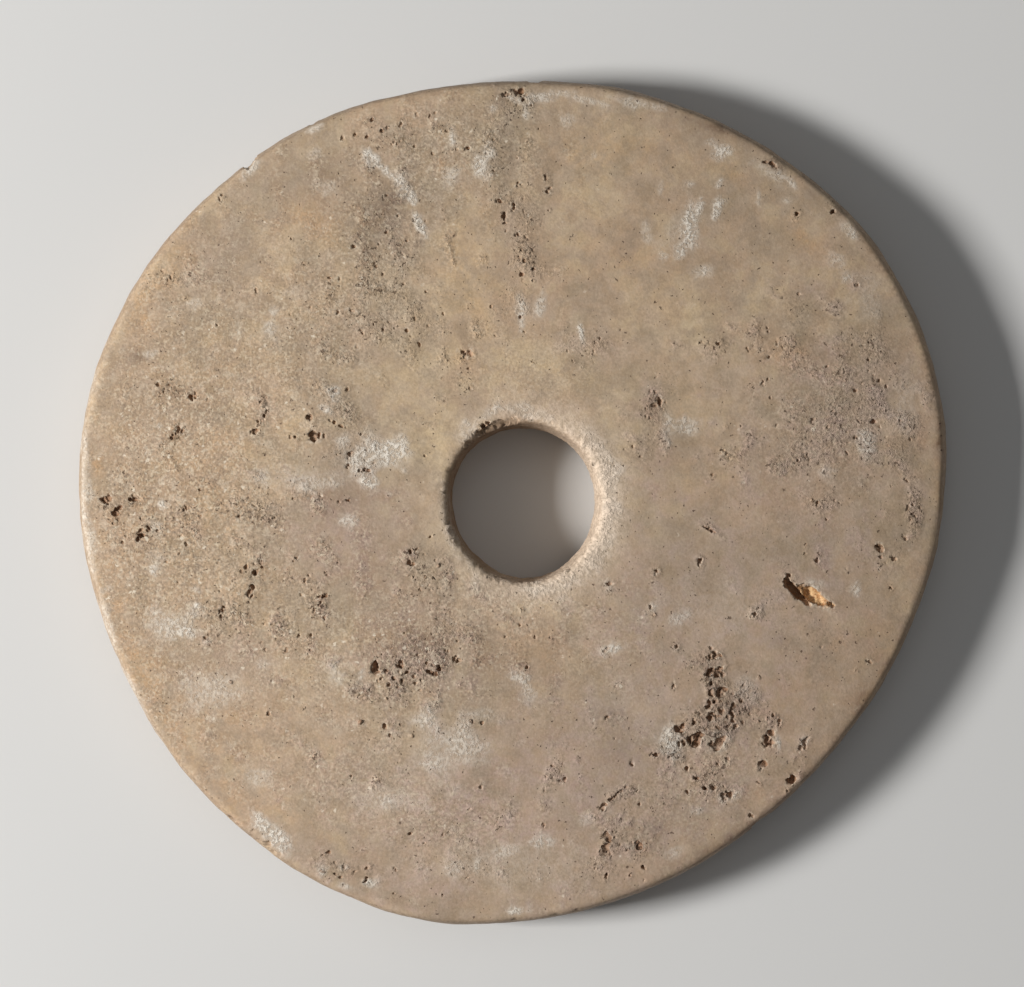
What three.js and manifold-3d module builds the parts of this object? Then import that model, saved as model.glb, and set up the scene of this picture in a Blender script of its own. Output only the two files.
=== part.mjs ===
// A ring-shaped money stone: a heavy disc of pale cave limestone, ground smooth on both faces, with a hole
// through it for the pole that it is carried on. It lies on one face.
// Millimetres, +Z up. The origin is on the surface that the stone lies on, under the middle of its outline.

import * as THREE from "three";
import { mergeVertices } from "three/addons/utils/BufferGeometryUtils.js";
import Module from "manifold-3d";

// The stone as a whole. Both faces were ground by hand: the upper one is domed, the lower one is flat.
const meanRadius = 245.5;
const thicknessAtHole = 52;
const thicknessAtRim = 40;

// The outline swells from a true circle: so many swells in a turn, how high each one stands, and the bearing of
// one of them. Bearings are degrees anticlockwise from +X, seen from above.
const outlineSwells = [
  { count: 2, height: 5.2, bearing: 26 },
  { count: 3, height: 4.6, bearing: 24 },
  { count: 4, height: 0.6, bearing: 77 },
  { count: 5, height: 0.4, bearing: 37 },
  { count: 6, height: 0.3, bearing: 8 },
  { count: 7, height: 0.25, bearing: 13 },
  { count: 8, height: 0.45, bearing: 32 },
  { count: 10, height: 0.25, bearing: 5 },
];

// The rim is thicker on some bearings than on others, in the same way.
const rimHeightSwells = [
  { count: 1, height: 1.4, bearing: 215 },
  { count: 2, height: 0.8, bearing: 70 },
  { count: 5, height: 0.4, bearing: 20 },
];

// The rim, in section
const rimRounding = 9;
const underRimRounding = 11;
const sideBulge = 1.6;
const undersideEdgeWidth = 42;
const undersideEdgeRise = 3.5;

// The hole, bored from both faces to a waist half way down, and a little off the middle of the outline
const holeOffsetX = 7.9;
const holeOffsetY = -4.6;
const waistRadius = 41.9;
const waistHeight = 25;
const upperFlare = 2.6;
const lowerFlare = 3.4;
const lipRounding = 4.6;
const holeSwells = [
  { count: 2, height: 1.1, bearing: 102 },
  { count: 3, height: 0.5, bearing: 38 },
];

// How finely the surface is cut into facets
const turnSteps = 96;
const faceSteps = 5;
const roundingSteps = 4;
const lipSteps = 2;
const edgeSteps = 3;
const sideSteps = 2;
const chipDetail = 1;

// Solution pits in the upper face. Each has a bearing and a way out, from 0 at the hole's waist to 1 at the rim,
// then its length, width and depth, and the bearing that its length runs along.
const pits = [
  { name: "long slot", bearing: -18.6, out: 0.665, length: 30, width: 8.5, depth: 6.5, along: -29 },
  { name: "crescent", bearing: -52.3, out: 0.666, length: 11, width: 6.5, depth: 5.5, along: 35 },
  { name: "crescent's neighbour", bearing: -50.9, out: 0.712, length: 8, width: 7.5, depth: 3.5, along: 0 },
  { name: "upper step", bearing: -41.4, out: 0.554, length: 7.5, width: 5.5, depth: 3.5, along: 20 },
  { name: "middle step", bearing: -43.4, out: 0.618, length: 6.5, width: 6, depth: 4.5, along: 80 },
  { name: "comb", bearing: -46.9, out: 0.657, length: 9, width: 6.5, depth: 4.5, along: 60 },
  { name: "comb's side", bearing: -44.7, out: 0.683, length: 7.5, width: 4.5, depth: 3.5, along: 80 },
  { name: "left of crescent", bearing: -53.7, out: 0.611, length: 6.5, width: 5, depth: 3.5, along: 30 },
  { name: "cup", bearing: -43.7, out: 0.819, length: 9, width: 7.5, depth: 5.5, along: 80 },
  { name: "small cup", bearing: -47.5, out: 0.865, length: 5.5, width: 5.5, depth: 4, along: 0 },
  { name: "rim cup", bearing: -45.5, out: 0.962, length: 6, width: 5.5, depth: 4.5, along: 0 },
  { name: "nick by the rim", bearing: -40.3, out: 0.913, length: 7, width: 4, depth: 3, along: 55 },
  { name: "low trough", bearing: -53.9, out: 0.866, length: 10, width: 5.5, depth: 3.5, along: 25 },
  { name: "left hand pit", bearing: -179.3, out: 0.846, length: 6.5, width: 5, depth: 4, along: 20 },
  { name: "left hand trough", bearing: -177.8, out: 0.888, length: 9, width: 5.5, depth: 4, along: 30 },
  { name: "left hand edge pit", bearing: -179, out: 0.924, length: 8, width: 5, depth: 3, along: 65 },
  { name: "left hand lower pit", bearing: -173.9, out: 0.837, length: 6, width: 5, depth: 3.5, along: 60 },
  { name: "brown pit", bearing: -130, out: 0.41, length: 6.5, width: 6, depth: 4, along: 0 },
  { name: "brown pit, middle", bearing: -125.3, out: 0.36, length: 5.5, width: 5, depth: 3.5, along: 0 },
  { name: "brown pit, right", bearing: -116.3, out: 0.329, length: 6.5, width: 5, depth: 3.5, along: 20 },
  { name: "pit above the frost", bearing: 162.9, out: 0.38, length: 6, width: 5, depth: 3.5, along: 0 },
  { name: "pit by the top rim", bearing: 88.7, out: 0.951, length: 11, width: 4.5, depth: 3.5, along: -10 },
];
const pitSink = 0.35; // how far a pit's middle stands above the face, as a share of its depth

// Chips knocked from the rim: bearing, length along the rim, how far each bites in, and the heights between
// which it runs.
const rimChips = [
  { name: "upper left notch", bearing: 128.2, length: 15, bite: 4.2, bottom: -4, top: 52 },
  { name: "top notch", bearing: 86.6, length: 9, bite: 2.2, bottom: 8, top: 52 },
  { name: "left nick", bearing: 203, length: 7, bite: 1.6, bottom: 6, top: 50 },
  { name: "lower left flake", bearing: 234.5, length: 20, bite: 9, bottom: 34, top: 52 },
  { name: "bottom flake", bearing: 271.2, length: 14, bite: 7, bottom: 31, top: 52 },
  { name: "bottom notch", bearing: 278.8, length: 9, bite: 6, bottom: 30, top: 52 },
  { name: "lower right dent", bearing: 307.3, length: 18, bite: 2.6, bottom: 6, top: 50 },
];

// The ledge broken from the hole's upper lip: its bearing, and its length round the hole, width and depth
const ledgeBearing = 113;
const ledgeLength = 34;
const ledgeWidth = 8;
const ledgeDepth = 9;

const wasm = await Module();
wasm.setup();

const radians = THREE.MathUtils.degToRad;

// A radius that swells as the list says: the mean radius plus one cosine for each kind of swell.
function swollen(mean, swells, angle) {
  return swells.reduce(
    (radius, swell) => radius + swell.height * Math.cos(swell.count * (angle - radians(swell.bearing))),
    mean,
  );
}

// The point in plan on a bearing, between the hole's waist (0) and the rim (1)
function planPoint(angle, out) {
  const direction = new THREE.Vector2(Math.cos(angle), Math.sin(angle));
  const atHole = new THREE.Vector2(holeOffsetX, holeOffsetY).addScaledVector(
    direction,
    swollen(waistRadius, holeSwells, angle),
  );
  const atRim = direction.clone().multiplyScalar(swollen(meanRadius, outlineSwells, angle));
  return atHole.lerp(atRim, out);
}

// The upper face's height on the average bearing: level at the hole, and falling away as the square of the way out.
function upperHeight(out) {
  return thicknessAtHole - (thicknessAtHole - thicknessAtRim) * out * out;
}

// How much higher the upper face stands than that on one bearing
function rimLift(angle, out) {
  return swollen(0, rimHeightSwells, angle) * out * out;
}

function wayOut(radius) {
  return (radius - waistRadius) / (meanRadius - waistRadius);
}

// A rounded corner, as the points after its start
function corner(start, through, end, steps) {
  return new THREE.QuadraticBezierCurve(start, through, end).getPoints(steps).slice(1);
}

// The section through the ring at the mean radii, anticlockwise from the waist: x is the radius, y the height.
function sectionOutline() {
  const at = (x, y) => new THREE.Vector2(x, y);
  const lowerMouth = waistRadius + lowerFlare;
  const upperMouth = waistRadius + upperFlare;
  const flatEnd = meanRadius - undersideEdgeWidth;
  const lowerTurn = meanRadius - underRimRounding;
  const upperTurn = meanRadius - rimRounding;
  const faceStart = upperMouth + lipRounding;
  const turnHeight = upperHeight(wayOut(upperTurn));
  const lipHeight = upperHeight(wayOut(faceStart));
  const side = meanRadius - sideBulge;
  const sideLow = undersideEdgeRise + underRimRounding;
  const sideHigh = thicknessAtRim - rimRounding;

  const points = [at(waistRadius, waistHeight), at(lowerMouth, lipRounding)];
  points.push(...corner(at(lowerMouth, lipRounding), at(lowerMouth, 0), at(lowerMouth + lipRounding, 0), lipSteps));
  points.push(at(flatEnd, 0));
  points.push(
    ...corner(
      at(flatEnd, 0),
      at((flatEnd + lowerTurn) / 2, 0),
      at(lowerTurn, undersideEdgeRise),
      edgeSteps,
    ),
  );
  points.push(
    ...corner(at(lowerTurn, undersideEdgeRise), at(side, undersideEdgeRise), at(side, sideLow), roundingSteps),
  );
  points.push(
    ...corner(
      at(side, sideLow),
      at(meanRadius + sideBulge, (sideLow + sideHigh) / 2),
      at(side, sideHigh),
      sideSteps,
    ),
  );
  points.push(...corner(at(side, sideHigh), at(side, turnHeight), at(upperTurn, turnHeight), roundingSteps));
  for (let step = 1; step <= faceSteps; step += 1) {
    const radius = THREE.MathUtils.lerp(upperTurn, faceStart, step / faceSteps);
    points.push(at(radius, upperHeight(wayOut(radius))));
  }
  points.push(
    ...corner(at(faceStart, lipHeight), at(upperMouth, lipHeight), at(upperMouth, lipHeight - lipRounding), lipSteps),
  );
  points.push(points[0].clone());
  return points;
}

// Turns a closed three.js geometry into a solid for cutting.
function solidFrom(geometry) {
  const bare = geometry.index ? geometry.toNonIndexed() : geometry.clone();
  bare.deleteAttribute("normal");
  bare.deleteAttribute("uv");
  const merged = mergeVertices(bare, 1e-3);
  return new wasm.Manifold(
    new wasm.Mesh({
      numProp: 3,
      vertProperties: merged.attributes.position.array,
      triVerts: new Uint32Array(merged.index.array),
    }),
  );
}

// Turns a cut solid back into a geometry that three.js draws.
function geometryFrom(solid) {
  const mesh = solid.getMesh();
  const geometry = new THREE.BufferGeometry();
  geometry.setAttribute("position", new THREE.BufferAttribute(new Float32Array(mesh.vertProperties), 3));
  geometry.setIndex(new THREE.BufferAttribute(new Uint32Array(mesh.triVerts), 1));
  geometry.computeVertexNormals();
  return geometry;
}

// The whole ring before any chip or pit: the section turned about the axis, then each point moved in plan so that
// the hole and the rim keep their own uneven outlines. What is above the waist is lifted with the rim, the more the
// nearer it is to the upper face.
function ringSolid() {
  const geometry = new THREE.LatheGeometry(sectionOutline(), turnSteps);
  geometry.rotateX(Math.PI / 2);
  const position = geometry.attributes.position;
  for (let i = 0; i < position.count; i += 1) {
    const angle = Math.atan2(position.getY(i), position.getX(i));
    const radius = Math.hypot(position.getX(i), position.getY(i));
    const out = wayOut(radius);
    const moved = planPoint(angle, out);
    const height = position.getZ(i);
    const share = THREE.MathUtils.clamp((height - waistHeight) / (upperHeight(out) - waistHeight), 0, 1);
    position.setXYZ(i, moved.x, moved.y, height + share * rimLift(angle, out));
  }
  return solidFrom(geometry);
}

// A rounded lump of stone to cut away, with its own length, width and height
function lump(length, width, height, along, x, y, z) {
  const geometry = new THREE.IcosahedronGeometry(1, chipDetail);
  geometry.scale(length / 2, width / 2, height / 2);
  geometry.rotateZ(along);
  geometry.translate(x, y, z);
  return solidFrom(geometry);
}

function pitCutter(pit) {
  const angle = radians(pit.bearing);
  const place = planPoint(angle, pit.out);
  const height = pit.depth * 2 * (1 + pitSink);
  const middle = upperHeight(pit.out) + rimLift(angle, pit.out) + pit.depth * pitSink;
  return lump(pit.length, pit.width, height, radians(pit.along), place.x, place.y, middle);
}

function rimChipCutter(chip) {
  const angle = radians(chip.bearing);
  const place = planPoint(angle, 1);
  const along = angle + Math.PI / 2;
  return lump(chip.length, chip.bite * 2, chip.top - chip.bottom, along, place.x, place.y, (chip.top + chip.bottom) / 2);
}

function ledgeCutter() {
  const angle = radians(ledgeBearing);
  const place = planPoint(angle, wayOut(waistRadius + upperFlare));
  return lump(ledgeLength, ledgeWidth, ledgeDepth * 2, angle + Math.PI / 2, place.x, place.y, thicknessAtHole);
}

// The stone: the ring less its chips, its ledge and its pits
function stone() {
  const cutters = [...rimChips.map(rimChipCutter), ledgeCutter(), ...pits.map(pitCutter)];
  const cut = cutters.reduce((solid, cutter) => solid.subtract(cutter), ringSolid());
  const geometry = geometryFrom(cut);
  geometry.computeBoundingBox();
  const middle = geometry.boundingBox.getCenter(new THREE.Vector3());
  geometry.translate(-middle.x, -middle.y, 0);
  const limestone = new THREE.MeshStandardMaterial({ color: "#a5907b", roughness: 0.62, metalness: 0 });
  const mesh = new THREE.Mesh(geometry, limestone);
  mesh.name = "money_stone";
  return mesh;
}

const moneyStone = new THREE.Group();
moneyStone.add(stone());

export default moneyStone;
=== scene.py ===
# %% [markdown]
# # A ring of stone money
#
# The object is one heavy ring of cave limestone: a wheel of stone half a metre across, ground smooth by
# hand on both faces, with a hole through the middle for the pole that carries it. It lies on its flatter
# face, and the camera looks straight down on it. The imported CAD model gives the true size, outline and
# thickness. What this notebook adds is the skin of the stone: pits, chips, crystals, clouds of colour and
# the dirt of a long life.

import bpy
import numpy as np
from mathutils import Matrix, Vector


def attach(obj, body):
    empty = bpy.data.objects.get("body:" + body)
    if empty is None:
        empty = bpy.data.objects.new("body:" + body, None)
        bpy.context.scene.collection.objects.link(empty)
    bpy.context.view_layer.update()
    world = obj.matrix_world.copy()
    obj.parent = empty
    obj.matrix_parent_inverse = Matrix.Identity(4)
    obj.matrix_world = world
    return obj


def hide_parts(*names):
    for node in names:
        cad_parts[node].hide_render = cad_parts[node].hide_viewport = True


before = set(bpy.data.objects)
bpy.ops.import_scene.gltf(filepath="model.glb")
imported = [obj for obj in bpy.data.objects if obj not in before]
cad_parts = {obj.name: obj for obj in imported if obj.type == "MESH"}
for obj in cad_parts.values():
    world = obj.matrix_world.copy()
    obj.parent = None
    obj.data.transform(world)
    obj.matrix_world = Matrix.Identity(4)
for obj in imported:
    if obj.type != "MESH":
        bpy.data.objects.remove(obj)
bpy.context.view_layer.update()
MM = 0.001

# %% [markdown]
# ## The ring as a surface of two parameters
#
# A wheel like this could be sculpted, or made from a cylinder with modifiers, but then its outline would be
# a guess. Here it is a surface with two parameters. One goes round the wheel, and the other goes round its
# section: down the hole, out along the underside, up the rim and back over the domed face. The numbers are
# those of the CAD model, but for a slightly tighter edge above the rim, so the new skin lies on the solid
# within a millimetre.

# %% Measures of the stone, in millimetres
mean_radius, thickness_at_hole, thickness_at_rim = 245.5, 52.0, 40.0
rim_rounding, under_rim_rounding, side_bulge = 6.5, 11.0, 1.6
underside_edge_width, underside_edge_rise = 42.0, 3.5
hole_middle = (7.9, -4.6)
waist_radius, waist_height = 41.9, 25.0
upper_flare, lower_flare, lip_rounding, lip_lean = 2.6, 3.4, 4.6, 0.6

# Each swell of a radius: how many in a turn, the height in millimetres, and the bearing of a top in degrees
outline_swells = [(2, 5.2, 26), (3, 4.6, 24), (4, 0.6, 77), (5, 0.4, 37), (6, 0.3, 8), (7, 0.25, 13),
                  (8, 0.45, 32), (10, 0.25, 5)]
rim_height_swells = [(1, 1.4, 215), (2, 0.8, 70), (5, 0.4, 20)]
hole_swells = [(2, 1.1, 102), (3, 0.5, 38)]


def swollen(mean, swells, angle):
    """The mean, plus for each swell its height times the cosine of its count times the angle from its top."""
    return mean + sum(height * np.cos(count * (angle - np.radians(bearing)))
                      for count, height, bearing in swells)


def toward(angle):
    """A step of one in plan, at an angle in radians."""
    return np.array([np.cos(angle), np.sin(angle)])


def along_aside(dx, dy, bearing):
    """A step in plan, told as a step along a bearing in degrees and a step to the left of it."""
    cosine, sine = toward(np.radians(bearing))
    return dx * cosine + dy * sine, dy * cosine - dx * sine


def upper_height(out):
    """The upper face falls with the square of the way out, which is 0 at the hole and 1 at the rim."""
    return thickness_at_hole - (thickness_at_hole - thickness_at_rim) * out**2


# %% The section, from the hole's waist down, out, up and back
def bend(start, through, end, steps=24):
    """A quadratic curve: the start, middle and end points weighted by (1-t)^2, 2t(1-t) and t^2."""
    t = np.linspace(0, 1, steps)[:, None]
    return (1 - t) ** 2 * np.array(start) + 2 * t * (1 - t) * np.array(through) + t**2 * np.array(end)


def ring_section():
    """The closed outline of a cut through the ring: each point's share of the way round, the points as radius
    and height, and the whole length."""
    def face_point(radius):
        return radius, upper_height((radius - waist_radius) / (mean_radius - waist_radius))

    low_mouth, high_mouth = waist_radius + lower_flare, waist_radius + upper_flare
    lip_edge = high_mouth + lip_rounding
    flat_end, low_turn = mean_radius - underside_edge_width, mean_radius - under_rim_rounding
    high_turn, side = mean_radius - rim_rounding, mean_radius - side_bulge
    side_low, side_high = underside_edge_rise + under_rim_rounding, thickness_at_rim - rim_rounding
    turn_height, lip_height = face_point(high_turn)[1], face_point(lip_edge)[1]
    face = np.array([face_point(radius) for radius in np.linspace(high_turn, lip_edge, 60)])
    points = np.concatenate([
        [(waist_radius, waist_height)],
        bend((low_mouth, lip_rounding), (low_mouth, 0), (low_mouth + lip_rounding, 0)),
        bend((flat_end, 0), ((flat_end + low_turn) / 2, 0), (low_turn, underside_edge_rise)),
        bend((low_turn, underside_edge_rise), (side, underside_edge_rise), (side, side_low)),
        bend((side, side_low), (mean_radius + side_bulge, (side_low + side_high) / 2), (side, side_high)),
        bend((side, side_high), (side, turn_height), (high_turn, turn_height)),
        face,
        bend((lip_edge, lip_height), (high_mouth, lip_height),
             (high_mouth - lip_lean, lip_height - lip_rounding)),
        [(waist_radius, waist_height)],
    ])
    length = np.concatenate([[0], np.cumsum(np.linalg.norm(np.diff(points, axis=0), axis=1))])
    return length / length[-1], points, length[-1]


section_way, section_points, section_length = ring_section()
print("section is", round(section_length, 1), "mm long, all the way round")


# %% The surface itself
def ring_surface(turn, way):
    """Points in millimetres at a share of a turn and a share of the way round the section. In plan a point
    lies between the uneven hole and the uneven rim, and the upper part is lifted with the rim."""
    angle = 2 * np.pi * turn
    radius = np.interp(way % 1, section_way, section_points[:, 0])
    height = np.interp(way % 1, section_way, section_points[:, 1])
    out = (radius - waist_radius) / (mean_radius - waist_radius)
    direction = np.stack([np.cos(angle), np.sin(angle)], -1)
    at_hole = np.array(hole_middle) + direction * swollen(waist_radius, hole_swells, angle)[..., None]
    at_rim = direction * swollen(mean_radius, outline_swells, angle)[..., None]
    plan = at_hole + (at_rim - at_hole) * out[..., None]
    share = np.clip((height - waist_height) / (upper_height(out) - waist_height), 0, 1)
    lift = share * swollen(0, rim_height_swells, angle) * out**2
    return np.concatenate([plan + ring_shift, (height + lift)[..., None]], -1)


ring_shift = np.zeros(2)
around, along = np.meshgrid(np.linspace(0, 1, 721), np.linspace(0, 1, 241))
plain_ring = ring_surface(around, along).reshape(-1, 3)
ring_shift = -(plain_ring.min(0) + plain_ring.max(0))[:2] / 2
print("moved in plan by", ring_shift.round(2), "mm, so that the middle of the outline is the origin")

# %% [markdown]
# ## Where things are on the face
#
# The pits and clouds on the face were placed on a picture of the stone seen from straight above,
# 1024 dots wide. It is easiest to keep their places as they were read, across and down the picture, and to
# turn them into millimetres with one scale.

# %% From places in the picture to millimetres on the stone
picture_width, picture_height = 1024, 987
picture_scale = 0.5778
picture_origin = (512.5, 502.5)
lens, sensor = 135.0, 36.0
camera_distance = picture_width * picture_scale * lens / sensor
silhouette_height, face_middle_height = 18.0, 46.0
face_scale = picture_scale * (1 - (face_middle_height - silhouette_height) / camera_distance)


def on_face(across, down, scale=face_scale):
    """Millimetres to the right and up, from dots across and down the picture. The face is nearer to the
    camera than the widest part of the rim, so on the face a dot is a little less."""
    return (across - picture_origin[0]) * scale, (picture_origin[1] - down) * scale


def moved_in_picture(across, down, along, aside, bearing):
    """A place in the picture after a step along a bearing in degrees and a step to the left of it."""
    cosine, sine = toward(np.radians(bearing))
    return across + along * cosine - aside * sine, down - along * sine - aside * cosine


# %% [markdown]
# ## Pits, chips and scars
#
# Limestone that has lain in the wet is eaten into holes. The large ones show as real hollows with a dark
# floor and a lit edge, so they are cut into the mesh. A boolean cut of a thousand holes would be slow and
# fragile. Instead each hollow is an egg-shaped lump whose middle stands a little above the face, and every
# point of the skin inside it is pushed away from that middle to its surface. The result is the same as a
# cut, and the mesh stays closed.

# %% Large pits: across, down, length, width, bearing of the length and depth, all in dots of the picture
large_pits = [
    (788, 580, 11, 8, -60, 9), (829, 604, 10, 6, -20, 6), (699, 735, 20, 10, 38, 11),
    (690, 740, 9, 8, 60, 9), (717, 744, 14, 12, 0, 5), (722, 693, 10, 11, 0, 8), (714, 672, 15, 8, 20, 7),
    (719, 672, 8, 8, 0, 6), (714, 715, 10, 8, 20, 9), (722, 711, 7, 7, 0, 8), (732, 707, 8, 6, 80, 8),
    (733, 717, 8, 5, 80, 8), (683, 726, 12, 9, 30, 8), (694, 721, 8, 6, 20, 6), (682, 742, 7, 7, 0, 7),
    (768, 739, 14, 12, 90, 9), (762, 766, 8, 8, 0, 8), (792, 781, 11, 10, 0, 9), (805, 745, 12, 6, 55, 5),
    (717, 655, 10, 8, 0, 6), (707, 657, 8, 6, 0, 5), (711, 684, 5, 5, 0, 7), (711, 693, 12, 4, 90, 6),
    (711, 704, 9, 6, 0, 8), (729, 795, 15, 8, 25, 6), (715, 787, 9, 5, 20, 6), (704, 787, 7, 5, -30, 6),
    (696, 779, 5, 5, 0, 6), (687, 769, 6, 6, 0, 6), (677, 646, 8, 4, 90, 6), (674, 686, 6, 6, 0, 7),
    (700, 562, 9, 5, 90, 7), (657, 572, 6, 6, 0, 6), (712, 531, 17, 3, -35, 3), (134, 499, 10, 8, 30, 8),
    (118, 509, 14, 8, 35, 8), (105, 499, 13, 8, 70, 7), (140, 535, 10, 7, 70, 7), (149, 528, 5, 5, 0, 5),
    (186, 508, 8, 6, 90, 5), (185, 544, 7, 7, 0, 6), (194, 397, 8, 7, 30, 7), (179, 430, 9, 8, 50, 6),
    (172, 437, 7, 6, 50, 6), (162, 446, 5, 5, 0, 4), (265, 416, 9, 4, 80, 6), (256, 431, 9, 7, 40, 7),
    (316, 436, 9, 9, -40, 8), (311, 416, 6, 7, 0, 7), (466, 356, 9, 10, 0, 6), (221, 196, 6, 6, 0, 6),
    (376, 667, 10, 9, 40, 8), (400, 664, 8, 8, 0, 8), (432, 672, 9, 8, 0, 8), (440, 668, 8, 6, 90, 7),
    (455, 659, 8, 7, 40, 7), (222, 610, 9, 6, 80, 7), (247, 566, 7, 6, 60, 6), (257, 571, 9, 6, 30, 7),
    (251, 592, 15, 5, 75, 7), (324, 596, 8, 4, 20, 6), (320, 604, 4, 5, 0, 6), (507, 93, 9, 6, 0, 6),
    (517, 92, 10, 8, 0, 7), (523, 96, 6, 7, 0, 6), (545, 177, 6, 7, 0, 7), (548, 190, 8, 5, 80, 6),
    (518, 185, 8, 5, 30, 7), (497, 201, 7, 6, -30, 6), (514, 205, 7, 5, 80, 6), (503, 216, 8, 6, 80, 6),
    (505, 223, 5, 4, 0, 6), (798, 214, 6, 5, 30, 7), (835, 210, 7, 6, 0, 7), (772, 162, 12, 5, -30, 4),
    (411, 552, 5, 5, 0, 6), (411, 564, 8, 6, 80, 6), (882, 549, 9, 7, -40, 6), (656, 754, 8, 6, 20, 5),
    (603, 808, 10, 5, 50, 5), (610, 799, 7, 4, 45, 6), (617, 793, 9, 4, 35, 6), (625, 788, 7, 3, 20, 4),
    (486, 426, 10, 7, 30, 8), (606, 877, 8, 4, 80, 6), (606, 836, 9, 9, 0, 4), (606, 848, 11, 10, 90, 4),
    (639, 846, 16, 9, 90, 3), (657, 403, 10, 8, 80, 5), (364, 470, 9, 5, 20, 6), (352, 453, 6, 6, 0, 6),
    (366, 881, 10, 4, 70, 6),
]

# The longest hollow, a slot in two steps
long_slot = [(797, 592, 38, 10, -40, 12), (812, 596, 40, 15, -28, 7)]

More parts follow.
